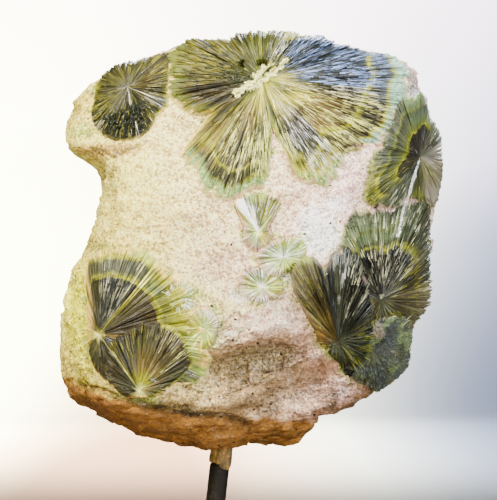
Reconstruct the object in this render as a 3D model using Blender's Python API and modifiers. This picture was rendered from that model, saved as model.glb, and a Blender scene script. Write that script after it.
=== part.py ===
"""Wavellite specimen: radiating green suns on a block of pale, sandy stone, on a rod and base.

+Z is up, the front faces -Y, and the origin is the middle of the base's underside. Numbers are
millimetres, and MM turns them into Blender's metres where a mesh is made. The stone and its suns
are shaped about the stone's centre, which an empty carries to its height above the base.
"""

import math
import random

import bmesh
import bpy
import numpy as np
from mathutils import Vector, noise
from mathutils.bvhtree import BVHTree

MM = 0.001
GAP = 0.3  # between pieces that touch

# Stand
ROD_RADIUS = 1.6
ROD_TIP = Vector((-5.1, -4.0, 31.9))
ROD_LEAN = 0.115  # sideways for each millimetre up
ROD_BEND_HEIGHTS = (11.5, 13.3, 15.0)
ROD_SIDEWAYS_AT_BEND = (0.0, 0.06, 0.2)
BASE_SIZE = (50.0, 40.0, 8.0)
BASE_BEVEL = 1.2
SOCKET_DEPTH = 5.0
PUTTY_RINGS = ((0.0, 1.72), (0.6, 1.85), (1.5, 1.95), (4.6, 2.3))  # height over the rod, radius
PUTTY_SIDES = 14
PIN_RADIUS = 0.8
PIN_HEIGHT = 1.3

# Stone: what is seen from the front as (x, z), then the flat breaks as (outward direction, distance)
STONE_HEIGHT = 67.1  # of its centre above the base's underside
STONE_OUTLINE = (
    (-29.9, 19.8), (-30.1, 17.1), (-29.3, 14.7), (-26.9, 13.2), (-24.6, 12.0), (-23.8, 9.9),
    (-24.2, 5.9), (-26.2, 0.3), (-28.6, -4.5), (-30.2, -10.1), (-30.6, -17.3), (-30.1, -21.8),
    (-28.2, -25.0), (-23.0, -28.6), (-17.9, -31.0), (-11.5, -32.3), (-6.7, -33.1), (-1.4, -32.2),
    (7.4, -31.7), (9.9, -30.1), (10.6, -28.5), (16.0, -26.9), (20.2, -23.7), (23.5, -19.2),
    (24.8, -13.8), (27.4, -9.8), (28.3, -3.7), (28.6, 3.5), (30.6, 11.2), (30.4, 15.5),
    (28.8, 19.5), (28.0, 23.0), (25.4, 27.4), (23.6, 28.8), (21.0, 29.8), (14.0, 31.5),
    (7.6, 32.6), (1.6, 32.8), (-3.2, 32.0), (-9.0, 32.2), (-13.7, 30.1), (-20.9, 27.3),
    (-26.1, 25.1), (-28.8, 22.4),
)
STONE_BREAKS = (
    ((0.0, -1.0, 0.0), 17.0),  # front
    ((0.05, -0.93, 0.36), 19.8),  # under the top sun
    ((-0.45, -0.85, 0.28), 24.6),  # upper left lobe
    ((-0.6, -0.8, 0.0), 26.8),
    ((0.45, -0.89, 0.0), 21.0),  # under the right-hand suns
    ((0.85, -0.5, 0.0), 26.2),
    ((0.0, -0.6, -0.8), 31.4),  # brown underside
    ((0.27, -0.89, -0.37), 19.6),  # ledges
    ((0.1, 1.0, 0.1), 17.0),  # back
    ((-0.3, 0.9, 0.35), 18.6),
    ((0.35, 0.85, -0.4), 19.2),
    ((0.6, 0.8, 0.0), 24.0),
    ((-0.6, 0.8, 0.1), 25.0),
    ((0.0, 0.7, 0.7), 28.0),
    ((0.1, 0.75, -0.66), 27.0),
    ((0.1, 0.45, 0.89), 29.0),
    ((0.0, 0.5, -0.87), 28.0),
    ((-0.85, 0.5, 0.1), 26.0),
    ((0.9, 0.45, -0.05), 27.0),
)
EDGE_SOFTNESS = 0.8
WAIST = 0.011  # how fast the outline shrinks away from the middle of the depth, per mm
FRONT_RELIEF = (  # (x, z), reach across and along, turn in degrees, height
    ((2.0, -18.2), (8.0, 2.2), 12.0, -1.9),
    ((-1.0, -23.5), (9.0, 2.2), 32.0, 1.5),
    ((9.0, -22.5), (4.5, 2.4), 20.0, -2.0),
    ((-8.0, -21.0), (4.0, 3.0), -10.0, -1.0),
    ((12.0, -27.0), (4.0, 1.8), 40.0, 1.1),
    ((-4.0, 6.0), (9.0, 8.0), 0.0, 0.5),
    ((9.0, 4.5), (6.0, 4.0), 60.0, -0.6),
)
ROUGHNESS = ((11.0, 0.8), (5.0, 0.45), (2.4, 0.2))  # size of the lumps and their height
STONE_FACES = 2300

# Suns: a centre and outline seen from the front, as (degrees, reach) from the centre, then the
# number of spokes and how far the blades stand above the stone
TOP_SUN = dict(
    centre=(1.6, 25.9), spokes=72, rings=6, lift=0.75, seed=1,
    outline=(
        (0, 22.4), (8.5, 22.2), (14, 22.0), (21, 21), (32, 18.5), (45, 15.5), (60, 13.5),
        (90, 12), (110, 12), (133, 13.5), (146, 15), (156, 15.8), (165, 15.5), (180, 15), (192, 15),
        (200, 14), (207, 12.5), (213, 10), (218, 12), (223, 17.9), (235, 18), (243, 19.8),
        (248, 20.2), (256, 19.2), (264, 17.8), (271, 17.3), (275, 13.6), (281, 8.2), (285, 9.5),
        (288, 13.5), (290, 17.3), (295, 18.6), (301, 19.7), (310, 18.7), (319, 17.7),
        (324, 18.7), (331, 20.8), (338, 21.3), (349, 21.6),
    ),
)
UPPER_LEFT_SUN = dict(
    centre=(-19.7, 24.6), spokes=36, rings=4, lift=0.6, seed=2,
    outline=(
        (0, 6.0), (20, 6.5), (45, 7.8), (90, 6.8), (135, 6.0), (160, 5), (180, 5.2), (200, 5.8),
        (225, 7), (240, 7.6), (260, 8.6), (275, 8.5), (295, 7.4), (310, 6.5), (330, 6.8),
        (345, 6.5),
    ),
)
LOWER_LEFT_SUN = dict(
    centre=(-24.1, -14.6), spokes=44, rings=4, lift=0.35, seed=3,
    outline=(
        (-20, 18.6), (-10, 17.8), (0, 16.9), (10, 15.8), (20, 16.0), (30, 16.0), (40, 15.1),
        (50, 14.8), (60, 14.4), (70, 14.3), (81, 13.9), (98, 12.5), (103, 10.3), (110, 5.6),
        (130, 2.6), (180, 1.6), (230, 2.5), (250, 4.4), (270, 6.7), (288, 9.0), (302, 11.6),
        (314, 12.8), (327, 14.6), (333, 17.4),
    ),
)
LOWER_LEFT_SUN_FOOT = dict(
    centre=(-17.8, -23.3), spokes=30, rings=3, lift=1.05, seed=4,
    outline=(
        (5, 3.8), (13, 5.2), (18, 7.4), (23, 9.2), (42, 9.9), (60, 9.6), (75, 8.8), (100, 8),
        (120, 7.6), (140, 7), (157, 6), (168, 4.4), (180, 3.4), (205, 2.2), (240, 1.4),
        (270, 1.2), (300, 1.4), (345, 2.6),
    ),
)
CENTRE_SPRAY = dict(
    centre=(1.0, 1.6), spokes=26, rings=3, lift=0.4, seed=5,
    outline=(
        (20, 1.6), (40, 2.2), (50, 4.5), (56, 6.3), (70, 6.0), (90, 5.8), (105, 5.8), (120, 5.8),
        (130, 5.9), (140, 3.6), (160, 2.2), (200, 2.6), (240, 3.0), (280, 3.0), (330, 2.6),
    ),
)
CENTRE_SPRAY_RIGHT = dict(
    centre=(5.0, -2.4), spokes=18, rings=3, lift=0.8, seed=6,
    outline=(
        (0, 3.2), (40, 4.2), (80, 3.2), (120, 3.0), (150, 3.6), (180, 4.4), (225, 3.8),
        (270, 2.8), (320, 2.2),
    ),
)
RIGHT_SUN = dict(
    centre=(26.8, 13.6), spokes=36, rings=4, lift=1.1, seed=7,
    outline=(
        (18, 9.0), (40, 8.8), (55, 8.5), (69, 8.2), (75, 8.6), (82, 9.4), (90, 10), (101, 9.8),
        (111, 9.7), (120, 8.4), (135, 7.4), (158, 7.1), (171, 7.3), (178, 7.8), (189, 7.9),
        (199, 8.7), (207, 9.9), (214, 11), (222, 11.6), (230, 10.6), (241, 9.7), (251, 7.2),
        (272, 6.9), (286, 8.2), (318, 9.4), (342, 9.2),
    ),
)
RIGHT_SUN_MIDDLE = dict(
    centre=(20.4, -9.1), spokes=36, rings=4, lift=0.4, seed=8,
    outline=(
        (7, 11), (20, 12.4), (42, 14.6), (55, 16.5), (63, 17.6), (76, 16.3), (83, 14.3),
        (90, 14.4), (98, 14.6), (109, 14.6), (120, 11.8), (137, 8.7), (161, 7.0), (180, 5.4),
        (208, 4.8), (240, 4.8), (270, 5), (295, 7), (308, 10), (334, 10.2),
    ),
)
RIGHT_SUN_SIDE = dict(
    centre=(13.6, -15.7), spokes=28, rings=4, lift=1.7, seed=9,
    outline=(
        (0, 5), (30, 6.5), (60, 9.5), (78, 14.6), (86, 15.4), (93, 14.2), (98, 12.3), (102, 12.2),
        (106, 13.8), (114, 14.3), (123, 13.6), (130, 11.4), (137, 7.2), (152, 3.8), (198, 2.5),
        (225, 2), (270, 2.9), (300, 4.6),
    ),
)
RIGHT_SUN_LOW = dict(
    centre=(19.2, -17.6), spokes=26, rings=3, lift=1.0, seed=10,
    outline=(
        (18, 9.0), (50, 7.5), (90, 5.4), (120, 5), (148, 5.1), (169, 5.7), (188, 5.5),
        (201, 5.7), (219, 5.6), (240, 5.2), (266, 5.2), (288, 7.2), (318, 8.0), (348, 8.6),
    ),
)
SUN_DEPTH = 1.6  # how deep the blades' roots sit in the stone
GROWTH_RINGS = {  # by their number: (share of the reach, height over the sun's own lift)
    3: ((0.35, 0.0), (0.75, 0.2), (1.0, -0.2)),
    4: ((0.2, -0.2), (0.5, 0.15), (0.78, 0.2), (1.0, -0.2)),
    6: ((0.1, -0.5), (0.3, 0.1), (0.52, 0.2), (0.74, 0.3), (0.9, 0.05), (1.0, -0.25)),
}
RIDGE = 0.3  # half the height between a blade's crest and the furrow beside it
POCKET_TOP = 4.0

# Steps of the walk that lays a spoke along the stone
STRIDE = 0.4
REACH_FOR_STONE = 6.0
SLOWEST = 0.7  # share of a stride counted where the stone turns away from the front
FAR = 60.0


def new_material(name, colour, roughness, metallic=0.0):
    material = bpy.data.materials.new(name)
    material.use_nodes = True
    surface = material.node_tree.nodes["Principled BSDF"]
    surface.inputs["Base Color"].default_value = (*colour, 1.0)
    surface.inputs["Roughness"].default_value = roughness
    surface.inputs["Metallic"].default_value = metallic
    return material


def add_object(name, shape, collection, material=None, parent=None):
    """An object from a bmesh in millimetres, which is freed."""
    bmesh.ops.scale(shape, vec=(MM, MM, MM), verts=shape.verts)
    mesh = bpy.data.meshes.new(name)
    shape.to_mesh(mesh)
    shape.free()
    made = bpy.data.objects.new(name, mesh)
    collection.objects.link(made)
    made.parent = parent
    if material:
        mesh.materials.append(material)
    else:
        made.hide_render = True
        made.display_type = "WIRE"
    return made


def add_boolean(target, operation, other):
    cut = target.modifiers.new(f"{operation} {other.name}".lower(), "BOOLEAN")
    cut.operation = operation
    cut.object = other
    cut.solver = "EXACT"


def settled(made):
    """The object with its modifiers worked into its mesh."""
    bpy.context.view_layer.update()
    graph = bpy.context.evaluated_depsgraph_get()
    mesh = bpy.data.meshes.new_from_object(made.evaluated_get(graph))
    made.modifiers.clear()
    old, made.data = made.data, mesh
    bpy.data.meshes.remove(old)
    return made


def outline_distance(points, outline):
    """How far (x, z) points lie outside a closed outline, negative inside."""
    ends = np.roll(outline, -1, axis=0)
    edges = ends - outline
    offsets = points[:, None, :] - outline
    along = np.clip((offsets * edges).sum(-1) / (edges**2).sum(-1), 0.0, 1.0)
    nearest = np.linalg.norm(offsets - along[..., None] * edges, axis=-1).min(1)
    height = points[:, None, 1]
    spans = (outline[:, 1] > height) != (ends[:, 1] > height)
    with np.errstate(divide="ignore", invalid="ignore"):
        meets = outline[:, 0] + edges[:, 0] * (height - outline[:, 1]) / edges[:, 1]
    inside = (spans & (points[:, None, 0] < meets)).sum(1) % 2 == 1
    return np.where(inside, -nearest, nearest)


def front_relief(points):
    """Height of the broken ledges and hollows on the front at (x, z) points."""
    height = np.zeros(len(points))
    for centre, reach, turn, rise in FRONT_RELIEF:
        angle = math.radians(turn)
        across = points - np.array(centre)
        u = across @ (math.cos(angle), math.sin(angle)) / reach[0]
        v = across @ (-math.sin(angle), math.cos(angle)) / reach[1]
        height += rise * np.exp(-((u * u + v * v) ** 1.5))
    return height


def stone_distance(points):
    """Zero on the stone's surface, negative inside: its outline and its breaks, with worn edges."""
    front = points[:, [0, 2]]
    sides = [outline_distance(front, np.array(STONE_OUTLINE)) + WAIST * points[:, 1] ** 2]
    relief = front_relief(front)
    for direction, distance in STONE_BREAKS:
        normal = np.array(direction) / np.linalg.norm(direction)
        raised = relief * max(0.0, -normal[1])
        sides.append(points @ normal - distance - raised)
    stacked = np.array(sides) / EDGE_SOFTNESS
    peak = stacked.max(0)
    return EDGE_SOFTNESS * (peak + np.log(np.exp(stacked - peak).sum(0)))


def stone_shape():
    """The stone as a ball whose every point is moved along its own line to the stone's surface."""
    shape = bmesh.new()
    bmesh.ops.create_icosphere(shape, subdivisions=6, radius=1.0)
    rays = np.array([vert.co.normalized() for vert in shape.verts])
    low, high = np.zeros(len(rays)), np.full(len(rays), FAR)
    for _ in range(24):
        middle = (low + high) / 2
        inside = stone_distance(rays * middle[:, None]) < 0
        low = np.where(inside, middle, low)
        high = np.where(inside, high, middle)
    for vert, ray, distance in zip(shape.verts, rays, low):
        place = Vector(ray * distance)
        rough = sum(rise * noise.noise(place / size) for size, rise in ROUGHNESS)
        vert.co = place * (1 + rough / distance)
    return shape


def walk(skin, centre, angle, reach):
    """Points along the skin from a centre on the front, in the upright plane at this angle: how far
    each is out from the centre, where it is and which way is out of the stone."""
    outwards = Vector((math.cos(angle), 0, math.sin(angle)))
    across = Vector((-math.sin(angle), 0, math.cos(angle)))
    here = skin.ray_cast(Vector((centre[0], -FAR, centre[1])), Vector((0, 1, 0)))[0]
    heading = outwards
    gone = 0.0
    track = [(gone, *here, *heading.cross(across))]
    while gone < reach:
        up = heading.cross(across)
        ahead = here + heading * STRIDE
        hit = skin.ray_cast(ahead + up * REACH_FOR_STONE, -up, 2 * REACH_FOR_STONE)[0]
        if hit is None:
            hit = skin.find_nearest(ahead)[0]
            hit = hit - across * (hit - here).dot(across)
        heading = (heading + (hit - here).normalized()).normalized()
        gone += STRIDE * max(heading.dot(outwards), SLOWEST)
        here = hit
        track.append((gone, *here, *heading.cross(across)))
    return np.array(track)


def laid_spokes(skin, sun):
    """Each spoke's walk along the stone, and its reach."""
    degrees, reaches = zip(*sun["outline"])
    angles = np.arange(sun["spokes"]) * 360 / sun["spokes"]
    ends = np.interp(angles, degrees, reaches, period=360)
    return [(walk(skin, sun["centre"], math.radians(a), r), r) for a, r in zip(angles, ends)]


def ring(spokes, share, heights, outwards=0.0):
    """Points at one share of every spoke's reach, at heights over the stone, moved out sideways."""
    rows = np.array(
        [[np.interp(share * reach, track[:, 0], column) for column in track[:, 1:].T]
         for track, reach in spokes]
    )
    places, ups = rows[:, :3], rows[:, 3:]
    ups = np.roll(ups, 1, axis=0) + 2 * ups + np.roll(ups, -1, axis=0)
    ups /= np.linalg.norm(ups, axis=1)[:, None]
    sideways = np.cross(np.roll(places, -1, axis=0) - np.roll(places, 1, axis=0), ups)
    sideways /= np.linalg.norm(sideways, axis=1)[:, None]
    return places + ups * np.reshape(heights, (-1, 1)) + sideways * outwards


def lofted(rings, start, end):
    """A closed shape: rings of points joined in their order, closed by a point at each end."""
    shape = bmesh.new()
    loops = [[shape.verts.new(point) for point in ring] for ring in rings]
    first, last = shape.verts.new(start), shape.verts.new(end)
    for j in range(len(loops[0])):
        k = (j + 1) % len(loops[0])
        shape.faces.new((first, loops[0][j], loops[0][k]))
        for near, far in zip(loops, loops[1:]):
            shape.faces.new((near[j], far[j], far[k]))
            shape.faces.new((near[j], far[k], near[k]))
        shape.faces.new((last, loops[-1][k], loops[-1][j]))
    bmesh.ops.recalc_face_normals(shape, faces=shape.faces)
    return shape


def sun_shape(spokes, sun):
    """A sun on the stone: blades as radial ridges in growth rings, on roots in the stone."""
    chance = random.Random(sun["seed"])
    crests = [chance.uniform(0.5, 1.3) * (1 if j % 2 else -1) for j in range(len(spokes))]
    crests = RIDGE * np.array(crests)
    growth = GROWTH_RINGS[sun["rings"]]
    rings = [
        ring(spokes, share, sun["lift"] + rise + crests * min(1.0, 2 * share))
        for share, rise in growth
    ]
    rings.append(ring(spokes, 1.0, -SUN_DEPTH))
    middle, up = spokes[0][0][0, 1:4], np.array((0, -1, 0))
    return lofted(rings, middle + up * (sun["lift"] + growth[0][1]), middle - up * SUN_DEPTH)


def pocket_shape(spokes, sun):
    """The room that a sun takes, with a gap round its roots and its top well clear."""
    rings = [
        ring(spokes, share, POCKET_TOP, GAP * (share == 1.0))
        for share, _ in GROWTH_RINGS[sun["rings"]]
    ]
    rings.append(ring(spokes, 1.0, sun["lift"], GAP))
    rings.append(ring(spokes, 1.0, -SUN_DEPTH - GAP, GAP))
    middle, up = spokes[0][0][0, 1:4], np.array((0, -1, 0))
    return lofted(rings, middle + up * POCKET_TOP, middle - up * (SUN_DEPTH + GAP))


def add_suns(name, suns, skin, parts, cutters, material, parent):
    """One piece from the suns that overlap, and the cutters of the pocket that it lies in."""
    laid = [(laid_spokes(skin, sun), sun) for sun in suns]
    piece = add_object(name, sun_shape(*laid[0]), parts, material, parent)
    for number, (spokes, sun) in enumerate(laid[1:], 2):
        joined = f"{name}_joined_{number}"
        other = add_object(joined, sun_shape(spokes, sun), cutters, None, parent)
        add_boolean(piece, "UNION", other)
    pockets = [
        add_object(f"{name}_pocket_{number}", pocket_shape(spokes, sun), cutters, None, parent)
        for number, (spokes, sun) in enumerate(laid, 1)
    ]
    return piece, pockets


def rod_path():
    """The rod's middle line: upright out of the base, then leaning to its tip."""
    bend = ROD_TIP - Vector((ROD_LEAN, 0, 1)) * (ROD_TIP.z - ROD_BEND_HEIGHTS[-1])
    foot = Vector((bend.x - ROD_SIDEWAYS_AT_BEND[-1], ROD_TIP.y, BASE_SIZE[2] - SOCKET_DEPTH + GAP))
    turn = [
        Vector((foot.x + sideways, foot.y, height))
        for height, sideways in zip(ROD_BEND_HEIGHTS, ROD_SIDEWAYS_AT_BEND)
    ]
    return [foot, *turn, ROD_TIP]


def add_rod(parts, cutters, material):
    """A bent rod with a pin turned on its tip, which the putty takes."""
    curve = bpy.data.curves.new("rod_line", "CURVE")
    curve.dimensions = "3D"
    curve.bevel_depth = ROD_RADIUS * MM
    curve.bevel_resolution = 4
    curve.use_fill_caps = True
    line = curve.splines.new("POLY")
    path = rod_path()
    line.points.add(len(path) - 1)
    for point, place in zip(line.points, path):
        point.co = (*(place * MM), 1.0)
    drawn = bpy.data.objects.new("rod_line", curve)
    parts.objects.link(drawn)
    bpy.context.view_layer.update()
    mesh = bpy.data.meshes.new_from_object(
        drawn.evaluated_get(bpy.context.evaluated_depsgraph_get())
    )
    bpy.data.objects.remove(drawn)
    shape = bmesh.new()
    shape.from_mesh(mesh)
    bpy.data.meshes.remove(mesh)
    bmesh.ops.remove_doubles(shape, verts=shape.verts, dist=0.00001)
    bmesh.ops.recalc_face_normals(shape, faces=shape.faces)
    bmesh.ops.scale(shape, vec=(1 / MM, 1 / MM, 1 / MM), verts=shape.verts)
    rod = add_object("stand_rod", shape, parts, material)
    pin = add_leaning_cylinder("rod_pin", PIN_RADIUS, -1.0, PIN_HEIGHT, cutters)
    add_boolean(rod, "UNION", pin)
    settled(rod)
    rod.data.shade_smooth()
    rod.data.set_sharp_from_angle(angle=math.radians(40))
    return rod


def add_leaning_cylinder(name, radius, low, high, collection):
    """A cylinder on the rod's leaning line, from low to high past the rod's tip."""
    lean = Vector((ROD_LEAN, 0, 1)).normalized()
    shape = bmesh.new()
    bmesh.ops.create_cone(
        shape, segments=16, radius1=radius, radius2=radius, depth=high - low, cap_ends=True
    )
    turn = lean.to_track_quat("Z", "Y").to_matrix()
    bmesh.ops.rotate(shape, matrix=turn, verts=shape.verts)
    bmesh.ops.translate(shape, vec=ROD_TIP + lean * (high + low) / 2, verts=shape.verts)
    return add_object(name, shape, collection)


def add_putty(parts, cutters, stone, material):
    """A cap of putty pressed round the rod's pin and up against the stone, which shapes its top."""
    lean = Vector((ROD_LEAN, 0, 1)).normalized()
    start = ROD_TIP + lean * GAP
    side = Vector((1, 0, -ROD_LEAN)).normalized()
    chance = random.Random(5)
    turns = [2 * math.pi * j / PUTTY_SIDES for j in range(PUTTY_SIDES)]
    rings = [
        [
            start + lean * height
            + (side * math.cos(turn) + Vector((0, math.sin(turn), 0)))
            * radius * chance.uniform(0.96, 1.04)
            for turn in turns
        ]
        for height, radius in PUTTY_RINGS
    ]
    shape = lofted(rings, start, start + lean * PUTTY_RINGS[-1][0])
    putty = add_object("mounting_putty", shape, parts, material)
    hole = add_leaning_cylinder("putty_hole", PIN_RADIUS + GAP, -1.0, PIN_HEIGHT + GAP, cutters)
    add_boolean(putty, "DIFFERENCE", hole)
    rest = bpy.data.objects.new("stone_rest", stone.data.copy())
    rest.hide_render = True
    rest.display_type = "WIRE"
    rest.location = (0, 0, (STONE_HEIGHT - GAP) * MM)
    cutters.objects.link(rest)
    add_boolean(putty, "DIFFERENCE", rest)
    return putty


def add_base(parts, cutters, material):
    """A bevelled block with a blind socket for the rod's foot."""
    shape = bmesh.new()
    bmesh.ops.create_cube(shape, size=1.0)
    bmesh.ops.scale(shape, vec=BASE_SIZE, verts=shape.verts)
    bmesh.ops.translate(shape, vec=(0, 0, BASE_SIZE[2] / 2), verts=shape.verts)
    base = add_object("stand_base", shape, parts, material)
    worn = base.modifiers.new("worn edges", "BEVEL")
    worn.width = BASE_BEVEL * MM
    worn.segments = 2
    foot = rod_path()[0]
    shape = bmesh.new()
    radius = ROD_RADIUS + GAP
    bmesh.ops.create_cone(
        shape, segments=24, radius1=radius, radius2=radius, depth=2 * SOCKET_DEPTH, cap_ends=True
    )
    bmesh.ops.translate(shape, vec=(foot.x, foot.y, BASE_SIZE[2]), verts=shape.verts)
    add_boolean(base, "DIFFERENCE", add_object("rod_socket", shape, cutters))
    return base


def build():
    for old in list(bpy.data.objects):
        bpy.data.objects.remove(old)
    scene = bpy.context.scene
    parts = bpy.data.collections.new("wavellite_specimen")
    cutters = bpy.data.collections.new("cutters")
    scene.collection.children.link(parts)
    scene.collection.children.link(cutters)
    sandy = new_material("sandy matrix", (0.72, 0.62, 0.52), 0.85)
    green = new_material("green wavellite", (0.32, 0.36, 0.12), 0.35)
    pale = new_material("pale wavellite", (0.66, 0.7, 0.42), 0.4)
    dark = new_material("dark wavellite", (0.13, 0.16, 0.08), 0.35)
    cream = new_material("cream putty", (0.72, 0.6, 0.36), 0.7)
    black = new_material("black steel", (0.03, 0.03, 0.035), 0.45, 0.6)
    gloss = new_material("black base", (0.02, 0.02, 0.022), 0.35)

    centre = bpy.data.objects.new("specimen_centre", None)
    centre.location = (0, 0, STONE_HEIGHT * MM)
    parts.objects.link(centre)
    stone = add_object("matrix_rock", stone_shape(), parts, sandy, centre)
    fewer = stone.modifiers.new("fewer faces", "DECIMATE")
    fewer.ratio = STONE_FACES / len(stone.data.polygons)
    settled(stone)
    shape = bmesh.new()
    shape.from_mesh(stone.data)
    bmesh.ops.scale(shape, vec=(1 / MM, 1 / MM, 1 / MM), verts=shape.verts)
    skin = BVHTree.FromBMesh(shape)
    shape.free()
    add_putty(parts, cutters, stone, cream)

    groups = (
        ("wavellite_sun_top", (TOP_SUN,), green),
        (
            "wavellite_cluster_right",
            (RIGHT_SUN, RIGHT_SUN_MIDDLE, RIGHT_SUN_SIDE, RIGHT_SUN_LOW),
            dark,
        ),
        ("wavellite_sun_upper_left", (UPPER_LEFT_SUN,), green),
        ("wavellite_sun_lower_left", (LOWER_LEFT_SUN, LOWER_LEFT_SUN_FOOT), green),
        ("wavellite_sprays_centre", (CENTRE_SPRAY, CENTRE_SPRAY_RIGHT), pale),
    )
    taken = []  # pockets of the suns that later ones give way to
    for name, suns, material in groups:
        piece, pockets = add_suns(name, suns, skin, parts, cutters, material, centre)
        for pocket in pockets:
            add_boolean(stone, "DIFFERENCE", pocket)
        for pocket in taken:
            add_boolean(piece, "DIFFERENCE", pocket)
        if material is not pale:
            taken += pockets
    add_rod(parts, cutters, black)
    add_base(parts, cutters, gloss)


build()
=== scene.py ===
import itertools
import math

import bmesh
import bpy
import numpy as np
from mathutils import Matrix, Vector, noise
from mathutils.bvhtree import BVHTree


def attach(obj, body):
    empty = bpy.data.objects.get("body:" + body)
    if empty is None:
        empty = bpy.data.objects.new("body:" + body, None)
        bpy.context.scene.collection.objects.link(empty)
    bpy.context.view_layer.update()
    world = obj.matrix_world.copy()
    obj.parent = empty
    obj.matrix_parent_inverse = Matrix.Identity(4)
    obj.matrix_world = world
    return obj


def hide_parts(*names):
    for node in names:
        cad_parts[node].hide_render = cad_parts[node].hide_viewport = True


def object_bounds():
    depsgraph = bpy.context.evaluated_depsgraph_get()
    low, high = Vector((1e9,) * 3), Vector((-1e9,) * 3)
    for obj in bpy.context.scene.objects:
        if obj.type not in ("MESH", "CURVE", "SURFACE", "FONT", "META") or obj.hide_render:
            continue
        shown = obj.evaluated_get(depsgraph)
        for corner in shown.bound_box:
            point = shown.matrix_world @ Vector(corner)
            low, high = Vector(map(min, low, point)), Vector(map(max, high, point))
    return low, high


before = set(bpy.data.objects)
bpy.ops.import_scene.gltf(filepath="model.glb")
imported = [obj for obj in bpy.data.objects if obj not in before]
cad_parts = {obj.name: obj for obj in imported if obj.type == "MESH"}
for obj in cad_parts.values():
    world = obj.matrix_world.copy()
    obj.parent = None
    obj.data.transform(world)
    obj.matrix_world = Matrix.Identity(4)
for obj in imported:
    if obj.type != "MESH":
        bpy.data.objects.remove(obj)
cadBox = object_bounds()
mm = 0.001  # everything here is in millimetres, and this makes it metres

# The specimen stands upright with its front to -Y, and its stone's centre is this high
stoneCentre = np.array((0.0, 0.0, 67.1))

stone = dict(
    outline=(  # what is seen from the front, as (x, z) from the stone's centre
        (-29.9, 19.8), (-30.1, 17.1), (-29.3, 14.7), (-26.9, 13.2), (-24.6, 12.0), (-23.8, 9.9),
        (-24.2, 5.9), (-26.2, 0.3), (-28.6, -4.5), (-30.2, -10.1), (-30.6, -17.3), (-30.1, -21.8),
        (-28.2, -25.0), (-23.0, -28.6), (-17.9, -31.0), (-11.5, -32.3), (-6.7, -33.1), (-1.4, -32.2),
        (7.4, -31.7), (9.9, -30.1), (10.6, -28.5), (16.0, -26.9), (20.2, -23.7), (23.5, -19.2),
        (24.8, -13.8), (27.4, -9.8), (28.3, -3.7), (28.6, 3.5), (30.6, 11.2), (30.4, 15.5),
        (28.8, 19.5), (28.0, 23.0), (25.4, 27.4), (23.6, 28.8), (21.0, 29.8), (14.0, 31.5),
        (7.6, 32.6), (1.6, 32.8), (-3.2, 32.0), (-9.0, 32.2), (-13.7, 30.1), (-20.9, 27.3),
        (-26.1, 25.1), (-28.8, 22.4),
    ),
    breaks=(  # flat broken sides, as (which way they face, how far from the centre)
        ((0.0, -1.0, 0.0), 17.0),  # front
        ((0.05, -0.93, 0.36), 19.8),  # under the top sun
        ((-0.45, -0.85, 0.28), 24.6),  # upper left lobe
        ((-0.6, -0.8, 0.0), 26.8),
        ((0.45, -0.89, 0.0), 21.0),  # under the right-hand suns
        ((0.85, -0.5, 0.0), 26.2),
        ((0.0, -0.6, -0.8), 31.4),  # brown underside
        ((0.27, -0.89, -0.37), 19.6),  # ledges
        ((0.1, 1.0, 0.1), 17.0),  # back
        ((-0.3, 0.9, 0.35), 18.6),
        ((0.35, 0.85, -0.4), 19.2),
        ((0.6, 0.8, 0.0), 24.0),
        ((-0.6, 0.8, 0.1), 25.0),
        ((0.0, 0.7, 0.7), 28.0),
        ((0.1, 0.75, -0.66), 27.0),
        ((0.1, 0.45, 0.89), 29.0),
        ((0.0, 0.5, -0.87), 28.0),
        ((-0.85, 0.5, 0.1), 26.0),
        ((0.9, 0.45, -0.05), 27.0),
    ),
    relief=(  # ledges and hollows on the front: (x, z), reach across and along, turn, height
        ((2.0, -18.2), (8.0, 2.2), 12.0, -1.9),
        ((-1.0, -23.5), (9.0, 2.2), 32.0, 1.5),
        ((9.0, -22.5), (4.5, 2.4), 20.0, -2.0),
        ((-8.0, -21.0), (4.0, 3.0), -10.0, -1.0),
        ((12.0, -27.0), (4.0, 1.8), 40.0, 1.1),
        ((-4.0, 6.0), (9.0, 8.0), 0.0, 0.5),
        ((9.0, 4.5), (6.0, 4.0), 60.0, -0.6),
    ),
    edgeSoftness=0.8,
    waist=0.011,  # how much the outline draws in towards the front and the back
    lumps=((11.0, 0.8), (5.0, 0.45), (2.4, 0.2)),  # size and height
    facesAlongEdge=124,  # of the box that is blown up into the stone
    frontShare=0.35,  # how much denser its faces are at the front
    farthest=50.0, halvings=16, atOnce=20000,  # how the surface is found along each ray
)


# Noise
def scrambled(cells, seed):  # one fixed random number from 0 to 1 for each whole-number cell
    n = cells[..., 0] * 374761393 + cells[..., 1] * 668265263 + cells[..., 2] * 1274126177
    n = n + seed * 974634777
    n = (n ^ (n >> 13)) * 1103515245
    return ((n ^ (n >> 16)) & 0xFFFFF) / 0xFFFFF


def lumps(points, size, seed=0):  # smooth noise from -1 to 1
    scaled = np.asarray(points) / size
    low = np.floor(scaled).astype(np.int64)
    part = scaled - low
    part = part * part * (3 - 2 * part)
    total = 0
    for corner in itertools.product((0, 1), repeat=3):
        weight = np.prod(np.where(corner, part, 1 - part), axis=-1)
        total = total + weight * scrambled(low + np.array(corner), seed)
    return 2 * total - 1


def nearestCell(scaled, seed):  # the nearest of the points scattered one to a cell: gap, cell, offset
    low = np.floor(scaled).astype(np.int64)
    best, owner, offset = np.full(len(scaled), 9.0), low.copy(), np.zeros(scaled.shape)
    for step in itertools.product((-1, 0, 1), repeat=3):
        cell = low + np.array(step)
        away = scaled - (cell + np.stack([scrambled(cell, seed + k) for k in (1, 2, 3)], -1))
        gap = np.linalg.norm(away, axis=-1)
        nearer = gap < best
        best = np.where(nearer, gap, best)
        owner[nearer], offset[nearer] = cell[nearer], away[nearer]
    return best, owner, offset


def pebbles(points, size, seed=0):  # distance to the nearest scattered point, and its own number
    best, owner, _ = nearestCell(np.asarray(points) / size, seed)
    return best * size, scrambled(owner, seed + 4)


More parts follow.
